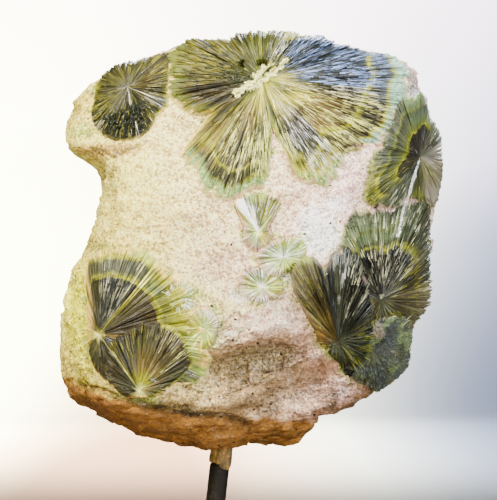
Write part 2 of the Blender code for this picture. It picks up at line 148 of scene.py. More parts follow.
def eased(low, high, values):  # 0 below low, 1 above high, smooth between
    share = np.clip((np.asarray(values) - low) / (high - low), 0, 1)
    return share * share * (3 - 2 * share)


# Colours
film = dict(  # how light turns into what is seen, so that colours can be given as seen
    seen=(0.0, 0.003, 0.026, 0.072, 0.125, 0.198, 0.3, 0.422, 0.57, 0.696, 0.794, 0.874, 0.931, 0.975),
    light=(0.0, 0.001, 0.004, 0.01, 0.02, 0.04, 0.08, 0.15, 0.3, 0.6, 1.2, 2.5, 5.0, 10.0),
    mixing=((0.719, 0.227, 0.054), (0.078, 0.808, 0.114), (0.062, 0.118, 0.82)),
    parting=((1.342, -0.293, -0.049), (-0.094, 1.122, -0.028), (-0.095, -0.141, 1.236)),
    frontLight=3.6,  # what the lamps give a surface that faces the camera
)


def linear(colour, lightOn=film["frontLight"]):  # the surface colour that is seen as this, 0 to 255
    share = np.linalg.inv(film["parting"]) @ (np.array(colour) / 255)
    light = np.interp(share, film["seen"], film["light"])
    return np.clip(np.linalg.inv(film["mixing"]) @ light / lightOn, 0.001, 0.95)


# Meshes
holding = dict(margin=0.3 * mm)  # how near the part's own box the outer points are eased back
attributeKinds = dict(
    number=("FLOAT", "value"), vector=("FLOAT_VECTOR", "vector"), colour=("FLOAT_COLOR", "color"),
)


def madeObject(name, points, faces, material, smooth=True):
    mesh = bpy.data.meshes.new(name)
    mesh.from_pydata(((np.asarray(points) + stoneCentre) * mm).tolist(), [], faces)
    if material:
        mesh.materials.append(material)
    if smooth:
        mesh.shade_smooth()
    made = bpy.data.objects.new(name, mesh)
    bpy.context.scene.collection.objects.link(made)
    return made


def coordinates(made):  # of a piece's points, in metres
    places = np.zeros(len(made.data.vertices) * 3, np.float32)
    made.data.vertices.foreach_get("co", places)
    return places.reshape(-1, 3).astype(float)


def moveTo(made, places):
    made.data.vertices.foreach_set("co", places.astype(np.float32).ravel())
    made.data.update()


def held(made):  # eases a piece's outermost points back inside the part's box
    places = coordinates(made)
    low, high = np.array(cadBox)
    margin = holding["margin"]
    for sign, limit in ((1, high), (-1, -low)):
        past = np.maximum(sign * places - (limit - margin), 0)
        places -= sign * (past - margin * (1 - np.exp(-past / margin)))
    moveTo(made, places)


def store(made, kind, domain="POINT", **layers):  # named attributes of one kind
    form, field = attributeKinds[kind]
    for name, values in layers.items():
        values = np.asarray(values, np.float32)
        if kind == "colour":
            values = np.pad(values, ((0, 0), (0, 1)), constant_values=1)
        made.data.attributes.new(name, form, domain).data.foreach_set(field, values.ravel())


def loftFaces(count, sides):  # between rings of points, closed by one more point at either end
    faces, last, ends = [], (count - 1) * sides, count * sides
    for j in range(sides):
        k = (j + 1) % sides
        faces += [(i + j, i + k, i + sides + k, i + sides + j) for i in range(0, last, sides)]
        faces += [(ends, k, j), (ends + 1, last + j, last + k)]
    return faces


# Nodes
class Wire:  # a node's socket, which Python sums turn into Math nodes
    def __init__(self, board, socket):
        self.board, self.socket = board, socket

    def maths(self, operation, *parts):
        return self.board.add("ShaderNodeMath", {"operation": operation}, dict(enumerate(parts)))

    def __add__(self, other):
        return self.maths("ADD", self, other)

    def __sub__(self, other):
        return self.maths("SUBTRACT", self, other)

    def __rsub__(self, other):
        return self.maths("SUBTRACT", other, self)

    def __mul__(self, other):
        return self.maths("MULTIPLY", self, other)

    def __truediv__(self, other):
        return self.maths("DIVIDE", self, other)

    def __pow__(self, other):
        return self.maths("POWER", self, other)

    __radd__, __rmul__ = __add__, __mul__

    def between(self, low, high):  # 0 at low, 1 at high, and no further
        sockets = {"Value": self, "From Min": low, "From Max": high}
        return self.board.add("ShaderNodeMapRange", {"clamp": True}, sockets)


class Board:  # a node tree, with one way to add a node
    def __init__(self, tree):
        self.tree = tree

    def add(self, kind, settings=None, sockets=None, output=0):
        node = self.tree.nodes.new(kind)
        for key, value in (settings or {}).items():
            setattr(node, key, value)
        for key, value in (sockets or {}).items():
            if isinstance(value, Wire):
                self.tree.links.new(value.socket, node.inputs[key])
            else:
                node.inputs[key].default_value = value
        return Wire(self, node.outputs[output]) if len(node.outputs) else None

    def vector(self, operation, *parts, output=0):
        return self.add("ShaderNodeVectorMath", {"operation": operation}, dict(enumerate(parts)), output)

    def scaled(self, vector, factor):
        return self.add(
            "ShaderNodeVectorMath", {"operation": "SCALE"}, {"Vector": vector, "Scale": factor}
        )


class Finish(Board):  # a material
    def __init__(self, name):
        self.material = bpy.data.materials.new(name)
        self.material.use_nodes = True
        super().__init__(self.material.node_tree)
        self.tree.nodes.clear()
        self.place = self.add("ShaderNodeTexCoord", output="Object")

    def split(self, k):  # x, y or z of the place, in metres
        return self.add("ShaderNodeSeparateXYZ", sockets={"Vector": self.place}, output=k)

    def stored(self, name, output="Fac"):
        return self.add("ShaderNodeAttribute", {"attribute_name": name}, output=output)

    def grain(self, size, detail=2.0, roughness=0.5, stretch=None, vector=None):
        place = vector or self.place
        if stretch:
            place = self.add("ShaderNodeMapping", sockets={"Vector": place, "Scale": stretch})
        sockets = {
            "Vector": place, "Scale": 1 / (size * mm), "Detail": detail, "Roughness": roughness,
        }
        return self.add("ShaderNodeTexNoise", sockets=sockets)

    def specks(self, size, vector=None, output=0):
        sockets = {"Vector": vector or self.place, "Scale": 1 / (size * mm)}
        return self.add("ShaderNodeTexVoronoi", sockets=sockets, output=output)

    def facets(self, size, turn, stretch):  # height of flat tilted chips, in metres
        sockets = {"Vector": self.place, "Rotation": turn, "Scale": stretch}
        place = self.add("ShaderNodeMapping", sockets=sockets)
        cell = self.specks(size, place, "Position")
        own = Wire(self, cell.socket.node.outputs["Color"])
        lean = self.vector("ADD", own, (-0.5, -0.5, -0.5))
        return self.vector("DOT_PRODUCT", self.vector("SUBTRACT", place, cell), lean, output=1)

    def mixed(self, share, first, second):
        colours = [c if isinstance(c, Wire) else (*linear(c), 1) for c in (first, second)]
        return self.add(
            "ShaderNodeMix", {"data_type": "RGBA"}, {0: share, 6: colours[0], 7: colours[1]}, output=2
        )

    def layered(self, colour, layers, noises, places=()):  # as the dictionaries below list them
        for name, (low, high), amount, place, change in layers:
            share = noises[name].between(low, high) * amount
            if place in places:
                share = share * places[place]
            second = self.scaled(colour, change) if isinstance(change, float) else change
            colour = self.mixed(share, colour, second)
        return colour

    def bumped(self, *layers):  # (height, depth in mm), the finest last
        normal = None
        for height, depth in layers:
            sockets = {"Height": height, "Strength": 1.0, "Distance": depth * mm}
            if normal:
                sockets["Normal"] = normal
            normal = self.add("ShaderNodeBump", sockets=sockets)
        return normal

    def surface(self, **sockets):
        named = {
            key.replace("_", " ").title().replace("Ior", "IOR"): value for key, value in sockets.items()
        }
        named["Base Color"] = self.vector("MINIMUM", named["Base Color"], (1, 1, 1))
        shader = self.add("ShaderNodeBsdfPrincipled", sockets=named)
        self.add("ShaderNodeOutputMaterial", sockets={"Surface": shader})
        return self.material


# The stone's shape
def outlineDistance(points, outline):  # how far (x, z) points lie outside it, negative inside
    ends = np.roll(outline, -1, axis=0)
    edges = ends - outline
    offsets = points[:, None, :] - outline
    along = np.clip((offsets * edges).sum(-1) / (edges**2).sum(-1), 0.0, 1.0)
    nearest = np.linalg.norm(offsets - along[..., None] * edges, axis=-1).min(1)
    height = points[:, None, 1]
    spans = (outline[:, 1] > height) != (ends[:, 1] > height)
    with np.errstate(divide="ignore", invalid="ignore"):
        meets = outline[:, 0] + edges[:, 0] * (height - outline[:, 1]) / edges[:, 1]
    inside = (spans & (points[:, None, 0] < meets)).sum(1) % 2 == 1
    return np.where(inside, -nearest, nearest)


def lineDistance(points, line):  # of (x, z) points from a line of points
    best = np.full(len(points), 99.0)
    for start, end in zip(line, line[1:]):
        start, edge = np.array(start), np.subtract(end, start)
        along = np.clip((points - start) @ edge / (edge @ edge), 0, 1)
        best = np.minimum(best, np.linalg.norm(points - start - along[:, None] * edge, axis=1))
    return best


def turned(points, centre, reach, turn):  # (x, z) points as shares of a turned ellipse's two reaches
    angle = math.radians(turn)
    offsets = points - np.array(centre)
    u = offsets @ (math.cos(angle), math.sin(angle)) / reach[0]
    v = offsets @ (-math.sin(angle), math.cos(angle)) / reach[1]
    return u, v


def stoneDistance(points):  # zero on the stone, negative inside
    front = points[:, [0, 2]]
    outline = np.array(stone["outline"])
    sides = [outlineDistance(front, outline) + stone["waist"] * points[:, 1] ** 2]
    raised = np.zeros(len(points))
    for centre, reach, turn, rise in stone["relief"]:
        u, v = turned(front, centre, reach, turn)
        raised += rise * np.exp(-((u * u + v * v) ** 1.5))
    for direction, distance in stone["breaks"]:
        normal = np.array(direction) / np.linalg.norm(direction)
        sides.append(points @ normal - distance - raised * max(0.0, -normal[1]))
    stacked = np.array(sides) / stone["edgeSoftness"]
    peak = stacked.max(0)
    return stone["edgeSoftness"] * (peak + np.log(np.exp(stacked - peak).sum(0)))


def stoneSkin():  # a box's faces blown up to the stone's surface, denser at the front
    shape = bmesh.new()
    bmesh.ops.create_cube(shape, size=2.0)
    cuts = stone["facesAlongEdge"] - 1
    bmesh.ops.subdivide_edges(shape, edges=shape.edges, cuts=cuts, use_grid_fill=True)
    shape.verts.ensure_lookup_table()
    box = np.array([vert.co[:] for vert in shape.verts])
    faces = [[vert.index for vert in face.verts] for face in shape.faces]
    shape.free()
    rays = np.tan(box * math.pi / 4)
    rays /= np.linalg.norm(rays, axis=1)[:, None]
    rays[:, 1] -= stone["frontShare"]
    rays /= np.linalg.norm(rays, axis=1)[:, None]
    distance = np.zeros(len(rays))
    for start in range(0, len(rays), stone["atOnce"]):
        some = rays[start : start + stone["atOnce"]]
        low, high = np.zeros(len(some)), np.full(len(some), stone["farthest"])
        for _ in range(stone["halvings"]):
            middle = (low + high) / 2
            inside = stoneDistance(some * middle[:, None]) < 0
            low, high = np.where(inside, middle, low), np.where(inside, high, middle)
        distance[start : start + len(some)] = low
    points = rays * distance[:, None]
    rough = [
        sum(rise * noise.noise(Vector(point / size)) for size, rise in stone["lumps"])
        for point in points
    ]
    return points + rays * np.array(rough)[:, None], faces


print("stone: shape")
skinPoints, skinFaces = stoneSkin()
skin = BVHTree.FromPolygons(skinPoints.tolist(), skinFaces)


# Suns: radiating blades laid on the stone
palette = dict(  # as seen on a screen
    cream=(238, 231, 204), straw=(204, 196, 132), gold=(164, 146, 78), lime=(194, 190, 100),
    sunYellow=(204, 198, 76), yellowGreen=(152, 152, 74), freshGreen=(134, 138, 74),
    moss=(92, 94, 50), olive=(104, 100, 52), darkOlive=(66, 62, 32), deepGreen=(44, 54, 32),
    greyGreen=(120, 124, 98), mint=(186, 196, 160), paleGreen=(198, 204, 146), iceMint=(186, 204, 192),
    bandGreen=(150, 160, 118), chalk=(236, 234, 210), rimGreen=(160, 162, 92), blueGreen=(96, 108, 104),
    steel=(126, 138, 142), silver=(228, 227, 220), sky=(204, 216, 236), slate=(58, 64, 62),
    brown=(112, 94, 62), umber=(68, 58, 38), black=(26, 29, 24), ochre=(176, 134, 76),
    white=(248, 248, 246), beige=(176, 166, 138), pinkGrey=(186, 180, 172),
    stoneCream=(226, 210, 174), honey=(254, 232, 166), stonePink=(210, 198, 186), frost=(247, 246, 246),
)

growthRings = {  # by a sun's size: (share of the reach, height over the sun's own lift)
    3: ((0.0, -0.1), (0.35, 0.0), (0.75, 0.2), (1.0, -0.2)),
    4: ((0.0, -0.3), (0.2, -0.2), (0.5, 0.15), (0.78, 0.2), (1.0, -0.2)),
    6: ((0.0, -0.5), (0.1, -0.5), (0.3, 0.1), (0.52, 0.2), (0.74, 0.3), (0.9, 0.05), (1.0, -0.25)),
}

# Each sun's outline is (degrees, reach) from its centre, and each of its sectors is
# (degrees, glint, then colours from the centre outwards as (share of the reach, colour)); the glint is a
# painted highlight colour.
# Its marks are lines seen from the front: points, half width, colour and height.
# Lift is how high it stands off the stone, depth how light its colours are, blades how many of the
# broadest blades it starts from, and columns and rows how fine its faces are. Fibres counts its
# loose needles, grains says how thickly its rim is strewn, and the sparkle setting how strong its painted
# glints are.
commonSun = dict(  # what a sun has unless its own dictionary says otherwise
    rings=3, relief=1, contrast=1,  # kind of growth, height and light and dark of the blades
    calm=0.9, beads=1.0,  # shares of the reach where the streaks calm down and where the rim's beads begin
    fades=1,  # how far the rim takes on the stone's colour
    mottle=(), marks=(),
)

topSun = dict(
    name="topSun", node="wavellite_sun_top", slot="green_wavellite", calm=0.76, beads=0.92,
    centre=(1.6, 25.9), rings=6, lift=0.75, depth=1.0, columns=1536, rows=72, blades=44, seed=1,
    fibres=2600, grains=1.0, paintedSparkle=1.0,
    outline=(
        (0, 23.5), (8.5, 23.4), (14, 23.0), (21, 21.8), (32, 18.5), (45, 15.5), (60, 13.5),
        (90, 12), (110, 12), (133, 13.5), (146, 15), (156, 15.8), (165, 15.5), (180, 15), (192, 15),
        (200, 14), (207, 12.5), (213, 10), (218, 12), (223, 17.9), (235, 18), (243, 19.8),
        (248, 20.2), (256, 19.2), (264, 17.8), (271, 17.3), (275, 13.6), (281, 8.2), (285, 9.5),
        (288, 13.5), (290, 17.3), (295, 18.6), (301, 19.7), (310, 18.7), (319, 17.7),
        (324, 18.7), (331, 21.6), (338, 22.4), (349, 22.8),
    ),
    sectors=(
        (2, "sky", (0, "sunYellow"), (0.15, "straw"), (0.28, "olive"), (0.45, "slate"),
            (0.72, "slate"), (0.735, "lime"), (0.76, "greyGreen"), (0.8, "slate"), (0.86, "steel"),
            (0.875, "lime"), (0.9, "iceMint")),
        (22, "sky", (0, "sunYellow"), (0.2, "olive"), (0.3, "slate"), (0.72, "slate"),
            (0.74, "moss"), (0.78, "slate"), (0.86, "steel"), (0.88, "yellowGreen"), (0.91, "iceMint")),
        (45, "sky", (0, "yellowGreen"), (0.2, "moss"), (0.35, "slate"), (0.8, "slate"), (0.95, "steel")),
        (66, "silver", (0, "yellowGreen"), (0.3, "moss"), (0.7, "olive"), (0.85, "steel"),
            (1, "greyGreen")),
        (78, "lime", (0, "yellowGreen"), (0.3, "moss"), (0.6, "freshGreen"), (0.75, "sunYellow"),
            (0.95, "yellowGreen")),
        (100, "lime", (0, "lime"), (0.2, "freshGreen"), (0.6, "moss"), (0.8, "freshGreen"), (1, "moss")),
        (135, "straw", (0, "yellowGreen"), (0.2, "moss"), (0.5, "olive"), (0.8, "moss"),
            (0.85, "yellowGreen"), (1, "freshGreen")),
        (165, "straw", (0, "moss"), (0.2, "deepGreen"), (0.4, "darkOlive"), (0.76, "olive"),
            (0.8, "moss"), (0.9, "rimGreen"), (1, "yellowGreen")),
        (195, "gold", (0, "moss"), (0.15, "deepGreen"), (0.35, "darkOlive"), (0.72, "umber"),
            (0.8, "moss"), (0.9, "rimGreen"), (1, "yellowGreen")),
        (218, "gold", (0, "cream"), (0.15, "moss"), (0.4, "darkOlive"), (0.7, "olive"),
            (0.9, "straw"), (1, "stoneCream")),
        (232, "straw", (0, "cream"), (0.15, "yellowGreen"), (0.4, "olive"), (0.65, "gold"),
            (0.74, "straw"), (0.78, "lime"), (0.82, "gold"), (0.88, "greyGreen"), (0.92, "mint")),
        (252, "cream", (0, "cream"), (0.15, "straw"), (0.35, "gold"), (0.55, "olive"), (0.76, "brown"),
            (0.78, "lime"), (0.8, "olive"), (0.88, "darkOlive"), (0.9, "yellowGreen"), (0.93, "mint")),
        (268, "cream", (0, "cream"), (0.2, "straw"), (0.45, "olive"), (0.76, "olive"),
            (0.78, "lime"), (0.8, "moss"), (0.88, "moss"), (0.91, "lime"), (0.94, "mint")),
        (282, "straw", (0, "straw"), (0.5, "olive"), (1, "paleGreen")),
        (294, "cream", (0, "sunYellow"), (0.2, "straw"), (0.4, "olive"), (0.72, "greyGreen"),
            (0.78, "lime"), (0.82, "yellowGreen"), (0.9, "straw"), (0.94, "paleGreen")),
        (308, "white", (0, "sunYellow"), (0.25, "straw"), (0.45, "brown"), (0.6, "slate"), (0.74, "olive"),
            (0.77, "lime"), (0.82, "yellowGreen"), (0.9, "straw"), (0.95, "mint")),
        (322, "cream", (0, "sunYellow"), (0.2, "olive"), (0.3, "straw"), (0.45, "brown"), (0.7, "gold"),
            (0.73, "lime"), (0.78, "moss"), (0.85, "brown"), (0.95, "brown"), (1, "ochre")),
        (338, "cream", (0, "sunYellow"), (0.2, "olive"), (0.3, "straw"), (0.45, "gold"), (0.7, "umber"),
            (0.72, "lime"), (0.76, "moss"), (0.8, "umber"), (0.87, "umber"), (0.885, "lime"),
            (0.91, "iceMint")),
        (350, "silver", (0, "sunYellow"), (0.2, "straw"), (0.4, "olive"), (0.6, "umber"), (0.71, "slate"),
            (0.73, "lime"), (0.77, "slate"), (0.865, "steel"), (0.88, "lime"), (0.91, "iceMint")),
    ),
    marks=(  # dark hollows, sunk and painted with black and umber shade, clumps and the two crushed strips near the middle
        (((-4.0, 26.3), (-2.2, 26.0), (-0.6, 25.6)), 1.5, "moss", 0.35),
        (((-1.6, 28.2), (-1.5, 28.3)), 0.45, "black", -0.6),
        (((1.0, 28.4), (2.6, 28.2)), 0.4, "umber", -0.6),
        (((2.0, 26.3), (3.4, 27.5)), 0.35, "umber", -0.5),
        (((3.2, 28.2), (4.8, 28.9)), 0.8, "yellowGreen", 0.4),
        (((5.6, 32.4), (6.8, 32.7)), 0.8, "sunYellow", 0.2),
        (((-3.0, 23.3), (-1.4, 24.2), (0.2, 25.4), (1.2, 27.0), (2.7, 28.3)), 0.55, "chalk", 0.45),
        (((-0.5, 24.3), (1.1, 24.8), (2.3, 26.1), (3.6, 27.0), (5.6, 28.9)), 0.5, "chalk", 0.45),
    ),
)

upperLeftSun = dict(
    name="upperLeftSun", node="wavellite_sun_upper_left", slot="green_wavellite", beads=0.93, rings=4,
    centre=(-19.7, 24.6), lift=0.6, depth=0.8, columns=640, rows=36, blades=26, seed=2,
    fibres=260, fades=0.5, relief=0.8, grains=0.3, paintedSparkle=0.6,
    outline=(
        (0, 6.3), (20, 6.8), (37, 8.2), (44, 9.2), (52, 7.6), (70, 7.0), (90, 6.8), (135, 6.2),
        (155, 6.0), (167, 5.6), (180, 5.3), (200, 5.6), (222, 7.6), (230, 8.2), (243, 8.6),
        (260, 8.5), (277, 8.6), (295, 7.7), (312, 6.6), (333, 7.0), (345, 6.5),
    ),
    sectors=(
        (0, "straw", (0, "straw"), (0.1, "umber"), (0.5, "brown"), (0.9, "darkOlive"), (1, "yellowGreen")),
        (25, "straw", (0, "straw"), (0.1, "olive"), (0.6, "brown"), (0.95, "olive")),
        (60, "straw", (0, "olive"), (0.3, "olive"), (1, "olive")),
        (100, "straw", (0, "olive"), (0.3, "olive"), (0.9, "umber")),
        (140, "straw", (0, "olive"), (0.4, "olive"), (0.85, "darkOlive"), (1, "olive")),
        (175, "straw", (0, "olive"), (0.4, "olive"), (0.8, "olive"), (0.88, "lime"), (1, "paleGreen")),
        (205, "straw", (0, "olive"), (0.5, "olive"), (0.9, "moss"), (1, "darkOlive")),
        (240, "straw", (0, "olive"), (0.4, "olive"), (0.7, "deepGreen"), (1, "deepGreen")),
        (270, "straw", (0, "silver"), (0.15, "umber"), (0.5, "darkOlive"), (1, "deepGreen")),
        (278, "straw", (0, "olive"), (0.5, "deepGreen"), (1, "black")),
        # a painted glint: a white highlight ray down one blade
        (281, "white", (0, "white"), (0.35, "silver"), (0.42, "deepGreen"), (1, "black")),
        (285, "straw", (0, "olive"), (0.5, "deepGreen"), (1, "black")),
        (300, "straw", (0, "olive"), (0.5, "deepGreen"), (1, "deepGreen")),
        (328, "straw", (0, "straw"), (0.2, "umber"), (0.9, "slate"), (1, "lime")),
        (335, "sky", (0, "straw"), (0.15, "steel"), (0.5, "silver"), (0.9, "steel"), (1, "lime")),
        (341, "straw", (0, "straw"), (0.2, "slate"), (0.9, "umber"), (1, "lime")),
    ),
    marks=((((-21.6, 18.2), (-19.6, 18.4), (-17.6, 19.2)), 2.5, "deepGreen", 0.8),),
)

lowerLeftSun = dict(
    name="lowerLeftSun", node="wavellite_sun_lower_left", slot="green_wavellite", calm=0.6, beads=0.93,
    centre=(-24.1, -14.6), rings=4, lift=0.35, depth=0.98, columns=1152, rows=46, blades=34, seed=3,
    fibres=120, relief=0.8, contrast=0.6, grains=0.2, paintedSparkle=0.32,
    outline=(
        (-20, 18.6), (-10, 17.8), (0, 16.9), (10, 15.8), (20, 16.0), (30, 16.0), (40, 15.1),
        (50, 14.8), (60, 14.4), (70, 14.3), (81, 13.9), (98, 12.5), (103, 10.3), (110, 5.6),
        (130, 2.6), (180, 1.6), (230, 2.5), (250, 4.4), (270, 6.7), (288, 9.0), (302, 11.6),
        (314, 12.8), (327, 14.6), (333, 17.4),
    ),
    sectors=(
        (5, "gold", (0, "straw"), (0.1, "brown"), (0.6, "umber"), (0.62, "lime"), (0.68, "yellowGreen"),
            (0.8, "lime"), (0.9, "straw"), (1, "stoneCream")),
        (25, "gold", (0, "straw"), (0.1, "umber"), (0.62, "umber"), (0.64, "lime"), (0.7, "yellowGreen"),
            (0.85, "lime"), (0.92, "straw"), (1, "stoneCream")),
        (45, "straw", (0, "straw"), (0.1, "olive"), (0.66, "brown"), (0.68, "lime"),
            (0.74, "bandGreen"), (0.9, "lime"), (1, "stoneCream")),
        (51, "straw", (0, "straw"), (0.1, "olive"), (0.66, "olive"), (0.68, "lime"),
            (0.74, "yellowGreen"), (0.9, "yellowGreen"), (1, "stoneCream")),
        (54, "cream", (0, "cream"), (0.1, "straw"), (0.67, "straw"), (0.7, "cream"), (0.9, "straw"),
            (1, "paleGreen")),
        (57, "silver", (0, "straw"), (0.1, "olive"), (0.4, "slate"), (0.67, "slate"), (0.7, "lime"),
            (0.74, "greyGreen"), (0.88, "greyGreen"), (0.9, "lime"), (1, "paleGreen")),
        (80, "silver", (0, "straw"), (0.1, "slate"), (0.67, "slate"), (0.7, "lime"), (0.74, "greyGreen"),
            (0.86, "greyGreen"), (0.89, "lime"), (0.94, "straw"), (1, "stoneCream")),
        (97, "straw", (0, "straw"), (0.1, "darkOlive"), (0.68, "darkOlive"), (0.7, "lime"),
            (0.74, "olive"), (0.88, "olive"), (0.9, "yellowGreen"), (1, "stoneCream")),
        (112, "straw", (0, "straw"), (0.3, "olive"), (1, "stoneCream")),
        (180, "straw", (0, "cream"), (0.5, "straw"), (1, "stoneCream")),
        (250, "straw", (0, "cream"), (0.3, "olive"), (0.9, "darkOlive"), (1, "stoneCream")),
        (285, "gold", (0, "cream"), (0.15, "darkOlive"), (0.9, "darkOlive"), (1, "olive")),
        (303, "gold", (0, "cream"), (0.15, "darkOlive"), (0.9, "olive"), (1, "olive")),
        (306, "cream", (0, "cream"), (0.1, "straw"), (0.9, "straw"), (1, "cream")),
        (309, "white", (0, "straw"), (0.1, "darkOlive"), (0.6, "black"), (1, "olive")),
        (325, "white", (0, "straw"), (0.1, "slate"), (0.3, "steel"), (0.6, "slate"), (1, "olive")),
        (342, "white", (0, "straw"), (0.1, "slate"), (0.4, "umber"), (0.58, "umber"), (0.6, "lime"),
            (0.8, "yellowGreen"), (1, "paleGreen")),
        (352, "straw", (0, "cream"), (0.1, "gold"), (0.4, "olive"), (0.58, "umber"), (0.6, "lime"),
            (0.75, "yellowGreen"), (0.85, "paleGreen"), (1, "stoneCream")),
    ),
)

lowerLeftFoot = dict(
    name="lowerLeftFoot", node="wavellite_sun_lower_left", slot="green_wavellite", fades=0,
    centre=(-17.8, -23.3), lift=1.0, depth=0.85, columns=640, rows=34, blades=26, seed=4,
    fibres=90, relief=0.8, contrast=0.6, grains=0.2, paintedSparkle=0.2,
    outline=(
        (5, 4.2), (13, 6.2), (22, 8.6), (28, 9.8), (44, 10.5), (58, 11.0), (74, 11.3), (88, 10.4),
        (104, 9.4), (120, 8.6), (140, 7), (157, 6), (168, 4.4), (180, 3.4), (205, 2.2), (240, 1.4),
        (270, 1.2), (300, 1.4), (345, 2.6),
    ),
    sectors=(
        (15, "straw", (0, "cream"), (0.1, "lime"), (0.3, "gold"), (0.6, "olive"), (0.9, "olive"),
            (0.95, "lime")),
        (35, "cream", (0, "cream"), (0.15, "lime"), (0.35, "gold"), (0.6, "olive"), (0.93, "brown"),
            (0.97, "lime")),
        (60, "cream", (0, "cream"), (0.15, "sunYellow"), (0.35, "gold"), (0.6, "brown"),
            (0.93, "brown"), (0.97, "lime")),
        (85, "straw", (0, "cream"), (0.15, "sunYellow"), (0.35, "gold"), (0.7, "olive"), (1, "umber")),
        (110, "straw", (0, "cream"), (0.15, "lime"), (0.4, "olive"), (1, "umber")),
        (123, "straw", (0, "cream"), (0.15, "yellowGreen"), (0.4, "darkOlive"), (1, "umber")),
        (126, "cream", (0, "cream"), (0.15, "straw"), (1, "straw")),
        (129, "gold", (0, "cream"), (0.15, "olive"), (0.6, "darkOlive"), (1, "darkOlive")),
        (145, "gold", (0, "cream"), (0.15, "olive"), (0.6, "darkOlive"), (1, "darkOlive")),
        (170, "gold", (0, "cream"), (0.3, "darkOlive"), (1, "olive")),
        (270, "cream", (0, "cream"), (0.5, "straw"), (1, "stoneCream")),
    ),
)

centreSpray = dict(
    name="centreSpray", node="wavellite_sprays_centre", slot="pale_wavellite",
    centre=(1.0, 1.6), lift=0.3, depth=1.2, columns=384, rows=24, blades=18, seed=5,
    fibres=120, contrast=0.5, grains=0.3, paintedSparkle=0.6,
    outline=(
        (20, 1.6), (40, 2.2), (50, 4.5), (56, 6.3), (70, 6.2), (90, 6.2), (105, 6.2), (120, 6.2),
        (130, 5.9), (140, 3.6), (160, 2.2), (200, 2.6), (240, 3.0), (280, 3.0), (330, 2.6),
    ),
    sectors=(
        (45, "white", (0, "cream"), (0.3, "paleGreen"), (0.8, "yellowGreen"), (1, "stonePink")),
        (65, "white", (0, "white"), (0.2, "yellowGreen"), (0.6, "lime"), (0.9, "yellowGreen"),
            (1, "stonePink")),
        (85, "white", (0, "white"), (0.2, "greyGreen"), (0.7, "yellowGreen"), (1, "paleGreen")),
        (105, "white", (0, "white"), (0.3, "silver"), (0.7, "greyGreen"), (1, "mint")),
        (118, "white", (0, "white"), (1, "white")),
        (130, "lime", (0, "white"), (0.3, "paleGreen"), (0.6, "lime"), (1, "yellowGreen")),
        (150, "white", (0, "cream"), (0.4, "paleGreen"), (1, "stonePink")),
        (240, "white", (0, "cream"), (0.4, "mint"), (1, "stonePink")),
        (310, "straw", (0, "cream"), (0.4, "straw"), (1, "stonePink")),
    ),
)

centreSprayRight = dict(
    name="centreSprayRight", node="wavellite_sprays_centre", slot="pale_wavellite",
    centre=(5.0, -2.4), lift=0.45, depth=1.2, columns=320, rows=22, blades=16, seed=6,
    fibres=90, contrast=0.5, grains=0.3, paintedSparkle=0.8,
    outline=(
        (0, 3.2), (40, 4.2), (80, 3.2), (120, 3.0), (150, 3.6), (180, 4.4), (225, 3.8),
        (270, 2.8), (320, 2.2),
    ),
    sectors=(
        (40, "white", (0, "white"), (0.4, "mint"), (1, "paleGreen")),
        (90, "white", (0, "steel"), (0.5, "mint"), (0.75, "lime"), (1, "stonePink")),
        (150, "white", (0, "white"), (0.5, "mint"), (0.75, "yellowGreen"), (1, "stonePink")),
        (230, "white", (0, "mint"), (0.5, "paleGreen"), (1, "stonePink")),
        (300, "straw", (0, "mint"), (0.6, "paleGreen"), (1, "olive")),
    ),
)

leftStar = dict(
    name="leftStar", node="wavellite_sun_lower_left", slot="pale_wavellite",
    centre=(-11.8, -8.8), lift=0.25, depth=1.25, columns=192, rows=14, blades=14, seed=11,
    fibres=110, contrast=0.4, grains=0.2, paintedSparkle=0.9,
    outline=((0, 2.4), (40, 3.0), (90, 2.6), (140, 2.2), (200, 1.8), (270, 2.2), (320, 2.6)),
    sectors=(
        (40, "white", (0, "white"), (0.4, "mint"), (1, "paleGreen")),
        (160, "white", (0, "cream"), (0.4, "paleGreen"), (1, "stonePink")),
        (270, "white", (0, "silver"), (0.4, "mint"), (1, "lime")),
    ),
)

leftSpray = dict(
    name="leftSpray", node="wavellite_sun_lower_left", slot="pale_wavellite", beads=0.9,
    centre=(-7.6, -13.6), lift=0.3, depth=1.25, columns=256, rows=16, blades=14, seed=12,
    fibres=90, contrast=0.4, grains=0.4, paintedSparkle=0.8,
    outline=((0, 2.0), (40, 2.6), (90, 3.4), (130, 3.2), (180, 2.4), (230, 3.0), (270, 3.4), (320, 2.2)),
    sectors=(
        (60, "white", (0, "mint"), (0.5, "paleGreen"), (1, "stonePink")),
        (150, "cream", (0, "paleGreen"), (0.6, "lime"), (1, "yellowGreen")),
        (250, "cream", (0, "mint"), (0.6, "paleGreen"), (1, "lime")),
    ),
)

centreSprayLow = dict(
    name="centreSprayLow", node="wavellite_sprays_centre", slot="pale_wavellite",
    centre=(1.6, -7.2), lift=0.25, depth=1.25, columns=256, rows=16, blades=14, seed=13,
    fibres=110, contrast=0.4, grains=0.4, paintedSparkle=0.8,
    outline=((0, 3.4), (30, 3.0), (60, 2.4), (100, 3.2), (150, 4.0), (190, 3.6), (240, 2.4), (300, 2.2)),
    sectors=(
        (20, "white", (0, "white"), (0.4, "paleGreen"), (1, "straw")),
        (110, "white", (0, "white"), (0.4, "mint"), (0.8, "yellowGreen"), (1, "stonePink")),
        (180, "white", (0, "cream"), (0.4, "paleGreen"), (0.7, "lime"), (1, "stonePink")),
        (280, "white", (0, "mint"), (1, "stonePink")),
    ),
)

